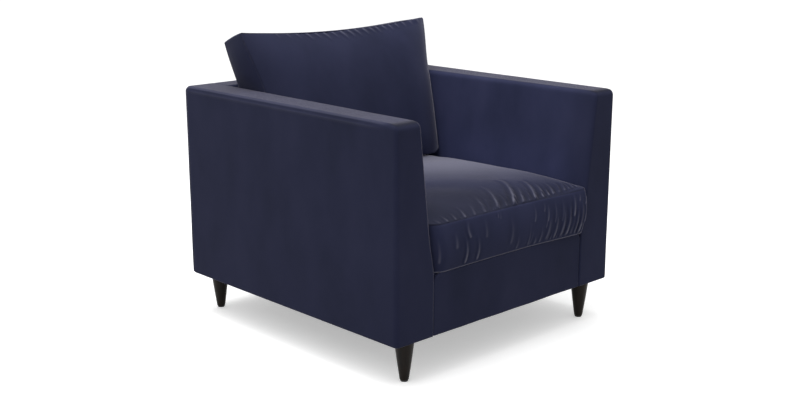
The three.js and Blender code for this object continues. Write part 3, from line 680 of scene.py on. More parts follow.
def arm_form(name, side, inset):
    """An arm's closed form. inset shrinks it evenly, for the foam under the cover."""
    # the padding swells the cover's outer side and front a little
    swell = ARM_FULLNESS - inset
    low = Vector((BASE_INNER_X + inset, FRONT_Y - swell, BODY_BASE + inset))
    high = Vector((HALF_WIDTH + swell, PANEL_LOW.y - 0.6 * inset, BODY_TOP - inset))

    def warp(points):
        y, z = points[:, 1].copy(), points[:, 2].copy()
        share = (HALF_WIDTH - inset - points[:, 0]) / (HALF_WIDTH - BASE_INNER_X - 2 * inset)
        points[:, 0] = HALF_WIDTH - inset - share * (arm_thickness(y, z) - 2 * inset)
        points[:, 0] *= side
        to_front = np.clip(1 - (y - low.y) / ARM_ROLL, 0, 1)
        points[:, 2] -= ARM_ROLL_DROP * to_front ** 2 * smoothstep(z, 0.6, high.z - TOP_EDGE)
        # the cover is turned under along the outer edges only, where the dust cover starts
        over_dust = (points[:, 0] * side < DUST_HIGH.x) & (y > DUST_LOW.y) & (y < DUST_HIGH.y)
        points[:, 2] = np.where(over_dust, np.maximum(points[:, 2], DUST_HIGH.z + 1 * MM), points[:, 2])
        return points

    def inner_front(z):
        return 3 * MM + 12 * MM * smoothstep(z, DECK_TOP, DECK_TOP + 0.1)

    radii = [inner_front, FRONT_CORNER - inset, 5 * MM, 5 * MM]
    obj, _ = upright_block(name, low, high, radii, inset, warp)
    return face_outwards(obj)


def make_arm(name, side):
    obj = arm_form(f"arm_{name}", side, 0.0)

    def away_from_joins(points):
        return smoothstep(REAR_Y - points[:, 1], 10 * MM, 60 * MM) * smoothstep(points[:, 2], 0.125, 0.17)

    uneven(obj, 0.2 * MM, 0.22, 11 if side < 0 else 12, away_from_joins)
    refine(obj)
    points, normals = get_points(obj), get_normals(obj)
    # the fold of the padding under the cloth runs along the outer side, just below the top edge
    outer = smoothstep(normals[:, 0] * side, 0.3, 0.9)
    outer *= smoothstep(points[:, 1], FRONT_Y + 20 * MM, FRONT_Y + 140 * MM)
    outer *= 1 - 0.7 * smoothstep(points[:, 1], REAR_Y - 60 * MM, REAR_Y)
    fold = bell(points[:, 2] - (BODY_TOP - ARM_FOLD), ARM_FOLD_WIDTH) * outer
    dip = bell(points[:, 2] - (BODY_TOP - ARM_FOLD + 6 * MM), ARM_FOLD_WIDTH) * outer
    set_points(obj, points + normals * ((0.9 * fold - 0.8 * dip) * MM)[:, None])
    inner = smoothstep(-normals[:, 0] * side, 0.2, 0.8)
    inner_x = HALF_WIDTH - arm_thickness(points[:, 1], points[:, 2])
    from_edge = np.hypot(points[:, 1] - FRONT_Y, points[:, 0] * side - inner_x)
    # painted sheen highlight along the inner front edge, used on the left arm only
    painted_edge_sheen = bell(from_edge, 4.5 * MM) * smoothstep(points[:, 2], 0.14, 0.2)
    # painted shade on the top face where it rolls over at the front
    painted_rollover_shade = smoothstep(normals[:, 2], 0.5, 0.95) * (1 - smoothstep(points[:, 1] - FRONT_Y, 12 * MM, 42 * MM))
    # painted sheen highlight along the rounded outer top edge
    from_top_edge = np.hypot(HALF_WIDTH - 4 * MM - points[:, 0] * side, BODY_TOP - 4 * MM - points[:, 2])
    painted_top_sheen = bell(from_top_edge, 5 * MM) * smoothstep(points[:, 1] - FRONT_Y, 25 * MM, 70 * MM)
    # painted highlight on the fold and painted shade in the dip beside it
    sheen_and_shade_paint = 0.11 * fold - 0.3 * dip + 0.12 * painted_top_sheen - 0.7 * painted_rollover_shade
    set_attribute(obj, "painted_sheen_and_shade", sheen_and_shade_paint + (0.2 if side < 0 else 0.0) * painted_edge_sheen)
    # painted light: the inner face is painted lighter, most of all low down and away from the front
    inner *= 0.25 + 0.75 * smoothstep(points[:, 1] - FRONT_Y, 15 * MM, 130 * MM)
    set_attribute(obj, "painted_light_level", 0.42 * inner + 0.4 * inner * smoothstep(0.6 - points[:, 2], 0, 0.15))
    finish_piece(obj, "chair_body", "velvet", VELVET, f"arm_cover_{name}")
    padding = arm_form(f"arm_padding_{name}", side, 3.4 * MM)
    finish_pad(padding, "chair_body", "foam", FOAM, 1.0, f"arm_foam_{name}")


def edge_inset(z):
    """How far an arm's rounded top edge has turned in at a height."""
    drop = np.clip(z - (BODY_TOP - TOP_EDGE), 0, TOP_EDGE)
    return TOP_EDGE - np.sqrt(TOP_EDGE ** 2 - drop ** 2)


def inner_back_form(name, inset):
    """The inside back's closed form, between the arms. inset shrinks it, for the foam under the cover."""
    low = Vector((-HALF_WIDTH + ARM_TOP_REAR, BASE_INNER_Y, DECK_LOW.z - 2 * MM + inset))
    high = Vector((HALF_WIDTH - ARM_TOP_REAR, PANEL_LOW.y - 0.6 * inset, BODY_TOP - inset))

    def reach_at(points):
        return HALF_WIDTH - arm_thickness(points[:, 1], points[:, 2]) - 0.6 * MM - inset

    def warp(points):
        y, z = points[:, 1].copy(), points[:, 2]
        depth = (high.y - y) / (high.y - low.y)
        points[:, 1] = high.y - depth * (high.y - inner_y(z) - inset)
        points[:, 0] *= reach_at(points) / high.x
        return points

    obj, block = upright_block(name, low, high, [1 * MM] * 4, inset, warp)
    # the ends butt against the arms, so they stay flat: only the front top edge is rounded
    points = get_points(obj)
    ends = np.isclose(block.u, 0) | np.isclose(block.u, 1)
    reach = reach_at(points) + (edge_inset(points[:, 2]) if inset == 0 else 0.0)
    points[ends, 0] = (np.sign(points[:, 0]) * reach)[ends]
    set_points(obj, points)
    return face_outwards(obj)


def make_back():
    """The inside back with its top edge, between the arms."""
    obj = inner_back_form("inside_back", 0.0)
    middle_y = (BASE_INNER_Y + PANEL_LOW.y) / 2
    uneven(obj, 0.4 * MM, 0.17, 21, lambda p: smoothstep(middle_y - p[:, 1], 0, 20 * MM))
    finish_pad(obj, "chair_body", "velvet", VELVET, 0.95, "back_cover")
    padding = inner_back_form("back_padding", 3.6 * MM)
    finish_pad(padding, "chair_body", "foam", FOAM, 1.0, "back_foam")


def make_outside_back():
    """The flat panel that closes the back, drawn over a thin wadding."""
    width = 2 * (HALF_WIDTH + ARM_FULLNESS - REAR_CORNER * 0.42)
    height = BODY_TOP - BODY_BASE - 3 * MM
    rows = slab_rows(REAR_Y - PANEL_LOW.y + 1 * MM, PANEL_EDGE, 5)
    lines = [even_lines(size, 14 * MM, 12 * MM, 3) for size in (width, height)]
    block = Block(*lines, len(rows))
    depth, inset = row_values(block, rows)
    x, z = slab_plan(block, width, height, inset, [4 * MM, 4 * MM, 13 * MM, 13 * MM])
    points = np.stack([-x, PANEL_LOW.y + 0.6 * MM + depth, BODY_BASE + height / 2 + z], 1)
    obj = make_mesh("outside_back_panel", points, block.faces)
    uneven(obj, 0.4 * MM, 0.2, 31, lambda p: smoothstep(p[:, 1], PANEL_LOW.y + 4 * MM, REAR_Y - 1 * MM))
    finish_pad(obj, "chair_body", "velvet", VELVET, 0.9, "outside_back")


def make_border():
    """The padded front border under the seat, with a hem below it and a return over the front rail."""
    width, height = BORDER_HIGH.x - BORDER_LOW.x, DECK_TOP - BODY_BASE
    thickness = 8.4 * MM
    rows = slab_rows(thickness, 3 * MM, 4)
    lines = [even_lines(size, 12 * MM, 28 * MM, 6) for size in (width, height)]
    block = Block(*lines, len(rows))
    depth, inset = row_values(block, rows)
    x, z = slab_plan(block, width, height, inset, [3 * MM, 3 * MM, 25 * MM, 25 * MM])
    points = np.stack([x, FRONT_Y + thickness - depth, BODY_BASE + height / 2 + z], 1)
    obj = make_mesh("front_border_panel", points, block.faces)
    uneven(obj, 0.5 * MM, 0.12, 41, lambda p: smoothstep(FRONT_Y + 5 * MM - p[:, 1], 0, 4 * MM))
    finish_pad(obj, "chair_body", "velvet", VELVET, 0.9, "front_border")
    hem_place = (0, BORDER_LOW.y + thickness + 3 * MM, DUST_LOW.z - 2 * MM)
    hem = merged_mesh("front_border_hem", [plate_shape(width - 2 * MM, 7 * MM, 1.6 * MM, 1 * MM, hem_place)])
    finish_piece(hem, "chair_body", "velvet", VELVET)
    make_border_return(width - 4 * MM, FRONT_Y + thickness + 0.5 * MM, FRONT_Y + 44 * MM)


def make_border_return(width, front, rear):
    """The strip of the border's velvet that lies over the front rail."""
    length = rear - front
    rows = upright_rows(DECK_LOW.z, DECK_TOP, 5 * MM, 4 * MM, 3 * MM, 3)
    block = Block(even_lines(width, 14 * MM), even_lines(length, 9 * MM, 4 * MM, 2), len(rows))
    z, inset = row_values(block, rows)
    x = (2 * block.u - 1) * (width / 2 - inset)
    y = front + length / 2 + (2 * block.v - 1) * (length / 2 - inset)
    obj = make_mesh("front_border_return", np.stack([x, y, z], 1), block.faces)
    finish_pad(obj, "chair_body", "velvet", VELVET, 0.9)


# ---- Cushions ----

ZIP_DEPTH = 3.9 * MM
SEAT_SEAM_Z = 429 * MM
SEAT_CROWN_Z = 459 * MM
SEAT_PRESSED_Z = 449.5 * MM
SEAT_LEFT_CORNER = 42 * MM
SEAT_RIGHT_CORNER = 22 * MM
SEAT_REAR_CORNER = 24 * MM

# Distances of the mesh rows beside a seam from it, and the width of a face's outermost mesh line.
SEAM_ROWS = [0, 2.5 * MM, 6 * MM]
SEAM_STEP = 3 * MM

# Distances of the mesh lines from a zip's middle, close enough together for its channel.
ZIP_LINES = [d * MM for d in (-8.5, -6.0, -4.4, -2.0, 2.0, 4.4, 6.0, 8.5)]
ZIP_CHANNEL = 4.6 * MM

# Creases that run back from the seat's front seam: where along the seam, how far they drift to the right,
# how far back they reach, their height and their width, all in millimetres. 12 of the 20 places were worked
# out by a separate program from points picked in the photograph, and then rounded by hand.
SEAT_TOP_CREASES = [
    (-288, -2, 26, 1.0, 5.0),
    (-258, 2, 32, 2.0, 5.0),
    (-226, 8, 36, 1.6, 5.0),
    (-190, 18, 52, 2.2, 5.5),
    (-152, 34, 70, 1.0, 6.0),
    (-116, 56, 108, 1.3, 7.0),
    (-62, 86, 146, 2.3, 7.0),
    (-24, 80, 110, 1.0, 7.0),
    (6, 113, 172, 3.6, 7.0),
    (46, 62, 96, 2.3, 6.5),
    (72, 58, 80, 1.3, 6.0),
    (101, 66, 118, 3.4, 6.5),
    (135, 44, 78, 2.4, 6.0),
    (160, 36, 66, 1.6, 5.5),
    (184, 26, 64, 3.0, 5.5),
    (210, 26, 52, 2.2, 5.0),
    (233, 28, 48, 3.0, 5.0),
    (254, 16, 40, 2.2, 5.0),
    (272, 10, 36, 2.6, 4.5),
    (291, 2, 26, 1.8, 4.5),
]

# Creases down the seat's front border: distance along the front from its middle, lower end, upper end, bow,
# height and width, in millimetres. About 16 of the 22 places were worked out in the same way.
SEAT_BORDER_CREASES = [
    (-292, 318, 400, 3, 1.2, 5.0),
    (-234, 352, 404, 2, 1.2, 8.0),
    (-200, 302, 384, 6, 3.2, 5.0),
    (-152, 302, 376, 5, 2.6, 5.0),
    (-178, 372, 424, -6, 1.8, 6.0),
    (-118, 360, 422, 3, 0.8, 7.0),
    (-64, 408, 427, 2, 1.4, 4.0),
    (-56, 404, 427, 2, 1.2, 3.5),
    (-16, 318, 410, 6, 1.0, 7.0),
    (14, 300, 346, 4, 1.2, 5.0),
    (64, 300, 332, 3, 1.4, 4.5),
    (89, 300, 334, 3, 1.4, 4.5),
    (112, 300, 350, 4, 1.0, 5.0),
    (136, 300, 410, 8, 1.8, 6.0),
    (168, 300, 402, 6, 2.0, 5.5),
    (197, 300, 414, 7, 2.4, 5.5),
    (222, 302, 402, 6, 3.4, 5.0),
    (243, 356, 427, 3, 3.0, 5.0),
    (258, 300, 392, 5, 2.6, 4.5),
    (276, 300, 398, 6, 3.4, 4.5),
    (292, 326, 426, 4, 3.2, 4.5),
    (314, 300, 420, 4, 2.0, 5.0),
]


def wall_ring_data(block, x, y):
    """Each wall vertex's outward direction, and its distance along the ring from the front's middle."""
    out = np.zeros((len(x), 2))
    along = np.zeros(len(x))
    front_steps = np.argmax(np.diff(block.v[: block.ring_size], append=1) > 0)
    for row in range(block.rows):
        ring = block.ring(row)
        px, py = x[ring], y[ring]
        tx, ty = np.roll(px, -1) - np.roll(px, 1), np.roll(py, -1) - np.roll(py, 1)
        length = np.hypot(tx, ty)
        out[ring] = np.stack([ty / length, -tx / length], 1)
        steps = np.hypot(np.roll(px, -1) - px, np.roll(py, -1) - py)
        run = np.concatenate([[0], np.cumsum(steps)[:-1]])
        run -= run[front_steps] / 2
        total = steps.sum()
        along[ring] = np.where(run > total / 2, run - total, run)
    return out, along


def cushion_lines(size_u, size_v, v_runs, fine):
    """The mesh lines across a cushion's faces, fine ones for its cover and coarse ones for its foam."""
    if not fine:
        return even_lines(size_u, 16 * MM), even_lines(size_v, 16 * MM)
    u_runs = [(SEAM_STEP, SEAM_STEP), (size_u - SEAM_STEP, 5.4 * MM), (size_u, SEAM_STEP)]
    v_runs = [(SEAM_STEP, SEAM_STEP), *v_runs, (size_v, SEAM_STEP)]
    return graded_lines(size_u, u_runs), graded_lines(size_v, v_runs)


def seat_rows(low, high):
    """Heights of the wall rows, closer together beside the seams and the zip."""
    middle = np.linspace(low + 12 * MM, high - 12 * MM, 16)
    middle = [z for z in middle if abs(z - SEAT_ZIP_Z) > 11 * MM] + [SEAT_ZIP_Z + d for d in ZIP_LINES]
    return np.array([low + d for d in SEAM_ROWS] + sorted(middle) + [high - d for d in reversed(SEAM_ROWS)])


def seat_crown(x, y, half_x, half_y):
    """How far the seat's top has risen, 0..1, over its seam."""
    crown = rise(half_x - np.abs(x), 0.075, 2.8) * (0.93 + 0.07 * np.sqrt(1 - (x / half_x) ** 2 * 0.99))
    crown *= rise(y + half_y, 0.2 - 0.07 * smoothstep(x, 0.05, half_x), 2.4)
    return crown * rise(half_y - y, 0.05, 2.2)


def seat_form(name, inset, fine):
    """The seat cushion's closed form. inset shrinks it evenly, for the foam inside the cover."""
    half_x = (SEAT_HIGH.x - SEAT_LOW.x) / 2 - 1 * MM - inset
    front, rear = SEAT_LOW.y + inset, SEAT_REAR_Y - inset
    half_y, centre_y = (rear - front) / 2, (rear + front) / 2
    heights = seat_rows(SEAT_LOW.z + 0.4 * MM + inset, SEAT_SEAM_Z - inset)
    size_x, size_y = 2 * half_x, 2 * half_y
    runs = [(0.2, 5 * MM), (size_y - SEAM_STEP, 8 * MM)]
    block = Block(*cushion_lines(size_x, size_y, runs, fine), len(heights))
    radii = [SEAT_LEFT_CORNER - inset, SEAT_RIGHT_CORNER - inset] + [SEAT_REAR_CORNER - inset] * 2
    x, y = slab_plan(block, size_x, size_y, 0.0, radii)
    crown = seat_crown(x, y, half_x, half_y)
    world_y = y + centre_y
    full, pressed = SEAT_CROWN_Z - SEAT_SEAM_Z, SEAT_PRESSED_Z - SEAT_SEAM_Z - 1 * MM
    height = full + (pressed - full) * smoothstep(world_y, -0.02, 0.13)
    top = block.row == block.rows - 1
    row_z = heights[block.row]
    z = row_z + np.where(top, crown * height, 0.0)
    share = (row_z - heights[0]) / (heights[-1] - heights[0])
    ear = np.where(x > 0, 3 * MM, 1 * MM) * smoothstep(np.abs(x), half_x - 0.1, half_x)
    ear *= smoothstep(-y, half_y - 0.1, half_y)
    z += ear * share ** 2 * (1 - crown * top)
    out, along = wall_ring_data(block, x, y)
    bulge = np.sin(math.pi * share) ** 0.75
    facing_front, facing_back = np.clip(-out[:, 1], 0, 1), np.clip(out[:, 1], 0, 1)
    reach = 12 * MM * facing_front ** 2 + 1.5 * MM * (1 - facing_front) * (1 - facing_back)
    push = reach * bulge * block.wall
    # the sides fill the space between the arms
    room = HALF_WIDTH - arm_thickness(world_y, row_z) - 3 * MM
    x = x * np.maximum(room - inset, half_x) / half_x + out[:, 0] * push
    y = y + out[:, 1] * push
    # towards its right end the front is drawn back
    y -= 12 * MM * smoothstep(x, 0.02, half_x) * smoothstep(-y, half_y - 0.2, half_y)
    # past the arm's rounded front edge the right corner has room to spread
    spread = smoothstep(-(y + centre_y), 0.466, 0.480) * smoothstep(x, 0.28, 0.31)
    x += 6 * MM * spread * (1 - share) * block.wall
    # between its corners the front is drawn in along both seams
    drawn = 4 * MM * (1 - (x / half_x) ** 2) * (1 - 0.6 * bulge) * smoothstep(-y, half_y - 0.05, half_y)
    y += np.clip(drawn, 0, None)
    obj = make_mesh(name, np.stack([x, y + centre_y, z], 1), block.faces)
    return face_outwards(obj), block, out, along


def crease_path(start, drift, reach, steps=9):
    """A line that leaves a seam slanting and straightens: (across, along) in metres, from millimetres."""
    t = np.linspace(0, 1, steps)
    return np.stack([start + drift * (1 - (1 - t) ** 1.7), reach * t], 1) * MM


def bowed_path(place, low, high, bow, steps=9):
    t = np.linspace(0, 1, steps)
    return np.stack([place + bow * np.sin(math.pi * t), low + (high - low) * t], 1) * MM


def table_creases(path, table):
    """(path, height, width) for each row of a table. The values before its last two place the crease."""
    return [(path(*place), height, width) for *place, height, width in table]


def apply_creases(points, normals, sheen_and_shade_paint, across, along, mask, creases, paleness=0.2):
    """Raises each crease, given as (path, height, width), and paints a sheen highlight along it and shade in
    the dip beside it.
    """
    for path, height, width in creases:
        ridge, dip = crease_push(across, along, path, width * MM)
        ridge, dip = ridge * mask, dip * mask
        points += normals * ((ridge - 0.5 * dip) * height * MM)[:, None]
        # painted sheen highlight on the crest, painted shade in the dip
        sheen_and_shade_paint += ridge ** 2.5 * paleness * height - dip * 0.1 * height


def fine_creases(seed, low, high, spacing):
    """Small creases between the main ones, from a place along the front seam to another, in millimetres."""
    source = np.random.default_rng(seed)
    creases = []
    place = low
    while place < high:
        nearness = (place - low) / (high - low)
        reach = source.uniform(30, 80) * (1.25 - 0.75 * nearness)
        drift = reach * source.uniform(0.5, 0.7) * (1 - 0.5 * nearness)
        creases.append((crease_path(place, drift, reach), source.uniform(0.9, 1.6), source.uniform(3.6, 5.0)))
        place += spacing * source.uniform(0.7, 1.3)
    return creases


def fine_border_creases(seed):
    """Thin creases down the boxing's right end, between the main ones."""
    source = np.random.default_rng(seed)
    creases = []
    for place in np.arange(60, 308, 9.5):
        length = source.uniform(26, 90)
        start = 300 if source.uniform() < 0.7 else 426 - length
        path = bowed_path(place + source.uniform(-3, 3), start, start + length, source.uniform(2, 6))
        creases.append((path, source.uniform(0.6, 1.2) * (0.5 + place / 400), 3.6))
    return creases


def border_puckers(seed, low, high):
    """Small puckers beside both seams of the boxing, on the cushion's sides and back."""
    source = np.random.default_rng(seed)
    creases = []
    for sign in (-1, 1):
        place = low
        while place < high:
            length, bow = source.uniform(14, 40), source.uniform(-4, 4)
            ends = (300, 300 + length) if source.uniform() < 0.5 else (427 - length, 427)
            creases.append((bowed_path(sign * place, *ends, bow), source.uniform(0.5, 1.3), 5.0))
            place += source.uniform(22, 60)
    return creases


def zip_channel(points, middle, axis, reach):
    """1 in the channel that a zip lies in and 0 away from it. axis is the one across the zip."""
    half = SEAT_ZIP_HIGH.x + 8 * MM
    across, along = np.abs(points[:, axis] - middle), np.abs(points[:, 0])
    return (1 - smoothstep(across, 0.75 * reach, 1.6 * reach)) * (1 - smoothstep(along, half - 22 * MM, half))


def crease_seat(points, normals, sheen_and_shade_paint, along, wall, top_mask):
    """Raises the creases and puckers of the seat's top and boxing, and paints sheen highlights on them and
    shade beside them.
    """
    top = table_creases(crease_path, SEAT_TOP_CREASES) + fine_creases(71, -110, 300, 12)
    behind_seam = points[:, 1] - SEAT_LOW.y - 2 * MM
    apply_creases(points, normals, sheen_and_shade_paint, points[:, 0], behind_seam, top_mask, top, 0.18)
    ends = smoothstep(points[:, 2], 0.297, 0.304) * (1 - smoothstep(points[:, 2], 0.422, 0.428))
    boxing = smoothstep(wall, 0.4, 0.9) * ends
    front_mask = boxing * smoothstep(-normals[:, 1], -0.3, 0.2)
    border = table_creases(bowed_path, SEAT_BORDER_CREASES)
    apply_creases(points, normals, sheen_and_shade_paint, along, points[:, 2], front_mask, border, 0.33)
    apply_creases(points, normals, sheen_and_shade_paint, along, points[:, 2], front_mask, fine_border_creases(74), 0.62)
    side_mask = boxing * smoothstep(normals[:, 1], -0.4, 0.2)
    beside_zip = zip_channel(points, SEAT_ZIP_LOW.z + 4 * MM, 2, 16 * MM)
    side_mask *= 1 - beside_zip * smoothstep(normals[:, 1], 0.3, 0.8)
    apply_creases(points, normals, sheen_and_shade_paint, along, points[:, 2], side_mask, border_puckers(72, 360, 1230), 0.12)


def seat_zip_place(along, across, outward):
    return along, SEAT_REAR_Y + outward, SEAT_ZIP_Z + across


def back_zip_place(along, across, outward):
    return along, BACK_ZIP_Y + across, BACK_FRONT_BASE[2] - outward


def make_seat_cushion():
    obj, block, out, along = seat_form("seat_cushion", 0.0, True)
    seam = (block.wall & (block.row == block.rows - 1)).astype(float)
    base = (block.wall & (block.row == 0)).astype(float)
    corners = get_points(obj)
    corners[:, :2] -= out * (1.6 * MM * seam + 0.6 * MM * base)[:, None]
    corners[:, 2] -= seam * 0.8 * MM
    set_points(obj, corners)
    marks = {"seam": seam, "along_ring": along, "on_wall": block.wall}
    seam, along, wall = refine_with(obj, marks)
    points, normals = get_points(obj), get_normals(obj)
    # painted shade in the groove along the seams
    sheen_and_shade_paint = -0.6 * seam
    top_mask = smoothstep(normals[:, 2], 0.15, 0.5)
    top_mask *= smoothstep(points[:, 2], SEAT_SEAM_Z - 2 * MM, SEAT_SEAM_Z + 1 * MM)
    crease_seat(points, normals, sheen_and_shade_paint, along, wall, top_mask)
    soft = waves(points, 0.16, 7, 51) * 0.9 * MM * top_mask * smoothstep(0.1 - points[:, 1], 0, 0.1)
    points += normals * soft[:, None]
    channel = zip_channel(points, SEAT_ZIP_Z, 2, ZIP_CHANNEL) * smoothstep(normals[:, 1], 0.5, 0.9)
    points[:, 1] -= ZIP_DEPTH * channel
    set_points(obj, points)
    # behind the front third the top is painted paler, a painted sheen for the light grazing it; the zip's
    # channel gets painted shade
    pile_patches_and_sheen_slope = points[:, 1] + 0.75 * points[:, 0]
    sheen_and_shade_paint += 0.7 * top_mask * smoothstep(pile_patches_and_sheen_slope, -0.29, 0.2) - 0.5 * channel
    front_share = 1 - smoothstep(pile_patches_and_sheen_slope, -0.44, -0.2)
    set_attribute(obj, "painted_sheen_and_shade", sheen_and_shade_paint)
    # painted light: the boxing walls are painted lighter, and the front of the top painted darker where it
    # slopes towards the front
    set_attribute(obj, "painted_light_level", 0.3 * (1 - top_mask) - 0.34 * top_mask * front_share)
    finish_piece(obj, "seat_cushion", "velvet", VELVET, "seat_cushion_cover")
    cord = corners[block.ring(0)]
    outward = (cord - cord.mean(0))[:, :2]
    cord[:, :2] += outward / np.linalg.norm(outward, axis=1)[:, None] * 0.2 * MM
    cord[:, 2] += 1.6 * MM
    # the bottom seam's cord uses the velvet painted pale, a painted sheen highlight
    seam_cord("seat_bottom_seam", cord, 2.1 * MM, "seat_cushion", SHEEN_PAINTED_SEAM_VELVET)
    core = seat_form("seat_foam", 7 * MM, False)[0]
    finish_pad(core, "seat_cushion", "foam", FOAM, 1.0, "seat_cushion_core")
    make_zip("seat", seat_zip_place, SEAT_ZIP_LOW.x, SEAT_ZIP_HIGH.x)


def seam_cord(name, points, radius, body, material):
    cord = make_mesh(name, *tube_shape(points, radius))
    finish_piece(cord, body, "velvet", material)
    return cord


BACK_FRONT_BASE = np.array((0, 129, 452.5)) * MM
BACK_FRONT_TOP = np.array((0, 276, 887)) * MM
BACK_REAR_BASE = np.array((0, 321, 452.5)) * MM
BACK_REAR_TOP = np.array((0, 390, 849)) * MM
BACK_HALF_BASE = 311 * MM
BACK_FLARE = 53 * MM
BACK_EAR = 15 * MM
BACK_SAG = 20 * MM
BACK_CORNERS = [24 * MM, 24 * MM, 7 * MM, 5 * MM]

# Puckers under the back cushion's top seam: place across, drift, reach, height and width, in millimetres.
BACK_TOP_PUCKERS = [
    (-205, 8, 22, 0.8, 5.0),
    (-172, 10, 22, 1.0, 5.0),
    (-141, 10, 24, 1.2, 5.0),
    (-108, 14, 30, 1.8, 5.0),
    (-80, 14, 26, 1.6, 4.5),
    (-52, 16, 34, 2.0, 5.0),
    (-24, 14, 28, 1.6, 4.5),
    (4, 18, 38, 2.3, 5.0),
    (30, 16, 32, 2.3, 4.5),
    (54, 16, 32, 2.0, 4.5),
    (82, 14, 30, 2.3, 5.0),
    (106, 14, 28, 2.0, 4.5),
    (128, 12, 30, 2.2, 4.5),
    (152, 12, 24, 2.2, 4.5),
    (176, 10, 28, 2.0, 4.5),
    (200, 10, 24, 1.8, 4.5),
    (228, 8, 24, 1.6, 4.5),
    (255, 8, 20, 1.3, 4.5),
    (284, 6, 20, 1.2, 4.5),
    (312, 4, 18, 1.0, 4.5),
]


def back_rows():
    """How far through the boxing its rows lie, 0..1, closer together beside the seams and the zip."""
    base_y, depth = BACK_FRONT_BASE[1], BACK_REAR_BASE[1] - BACK_FRONT_BASE[1]
    zip_share = (BACK_ZIP_Y - base_y) / depth
    near = [distance / 0.15 for distance in SEAM_ROWS]
    middle = [share for share in np.linspace(0.09, 0.91, 11) if abs(share - zip_share) > 0.07]
    middle += [zip_share + distance / depth for distance in ZIP_LINES]
    return np.array(near + sorted(middle) + [1 - share for share in reversed(near)])


def lean_back(across, up, through, inset):
    """Points between the leaning faces, flared towards the top corners and sagging between them."""
    half = BACK_HALF_BASE + BACK_FLARE * up + BACK_EAR * smoothstep(up, 0.62, 1.0) * (1 - through)
    half -= through * (8 * MM + 16 * MM * (1 - smoothstep(up, 0.5, 1.0)))
    front = BACK_FRONT_BASE + (BACK_FRONT_TOP - BACK_FRONT_BASE) * up[:, None]
    rear = BACK_REAR_BASE + (BACK_REAR_TOP - BACK_REAR_BASE) * up[:, None]
    thick = (inset / np.linalg.norm(rear - front, axis=1))[:, None]
    t = thick + (1 - 2 * thick) * through[:, None]
    points = front * (1 - t) + rear * t
    points[:, 0] = across * half
    points[:, 1] -= 8 * MM * np.sin(math.pi * np.clip(up, 0, 1)) * (1 - through)
    points[:, 2] -= BACK_SAG * (1 - across ** 2) * smoothstep(up, 0.4, 1.0)
    return points


def back_form(name, inset, fine):
    """The back cushion's closed form, leaning, with full faces. inset shrinks it, for the foam inside."""
    lean = BACK_FRONT_TOP - BACK_FRONT_BASE
    height = np.linalg.norm(lean)
    forward, upward = np.array([0, -lean[2], lean[1]]) / height, lean / height
    half_x, half_h = BACK_HALF_BASE - inset, height / 2 - inset
    size_x, size_h = 2 * half_x, 2 * half_h
    shares = back_rows()
    runs = [(size_h - 0.06, 8 * MM), (size_h - SEAM_STEP, 5 * MM)]
    block = Block(*cushion_lines(size_x, size_h, runs, fine), len(shares))
    through = shares[block.row]
    a, b = slab_plan(block, size_x, size_h, 0.0, BACK_CORNERS)
    points = lean_back(a / BACK_HALF_BASE, (b + height / 2) / height, through, inset)
    from_side, from_top, from_base = half_x - np.abs(a), half_h - b, b + half_h
    crown = rise(from_side, 0.14, 2.4) ** 0.85 * rise(from_top, 0.15, 2.4) ** 0.9
    crown *= rise(from_base, 0.1, 2.4) ** 0.85
    fullness = 30 * MM * (block.row == 0) - 8 * MM * (block.row == block.rows - 1)
    points += forward * (crown * fullness)[:, None]
    out, _ = wall_ring_data(block, a, b)
    bulge = np.sin(math.pi * through) ** 0.8 * block.wall
    # where three seams meet, at the top corners, the cover is drawn in
    bulge *= 1 - 0.75 * bell(np.hypot(from_side, from_top), 45 * MM)
    above_arms = smoothstep(points[:, 2], 0.7, 0.76)
    lip = bell(through - 0.16, 0.13) * block.wall * smoothstep(out[:, 0], 0.3, 1.0)
    points[:, 0] += (out[:, 0] * bulge * (1 + 8 * above_arms) + 4 * lip * (1 - above_arms)) * MM
    points += upward * (np.clip(out[:, 1], 0, 1) * bulge * 10 * MM)[:, None]
    return face_outwards(make_mesh(name, points, block.faces)), block, a, from_top, out


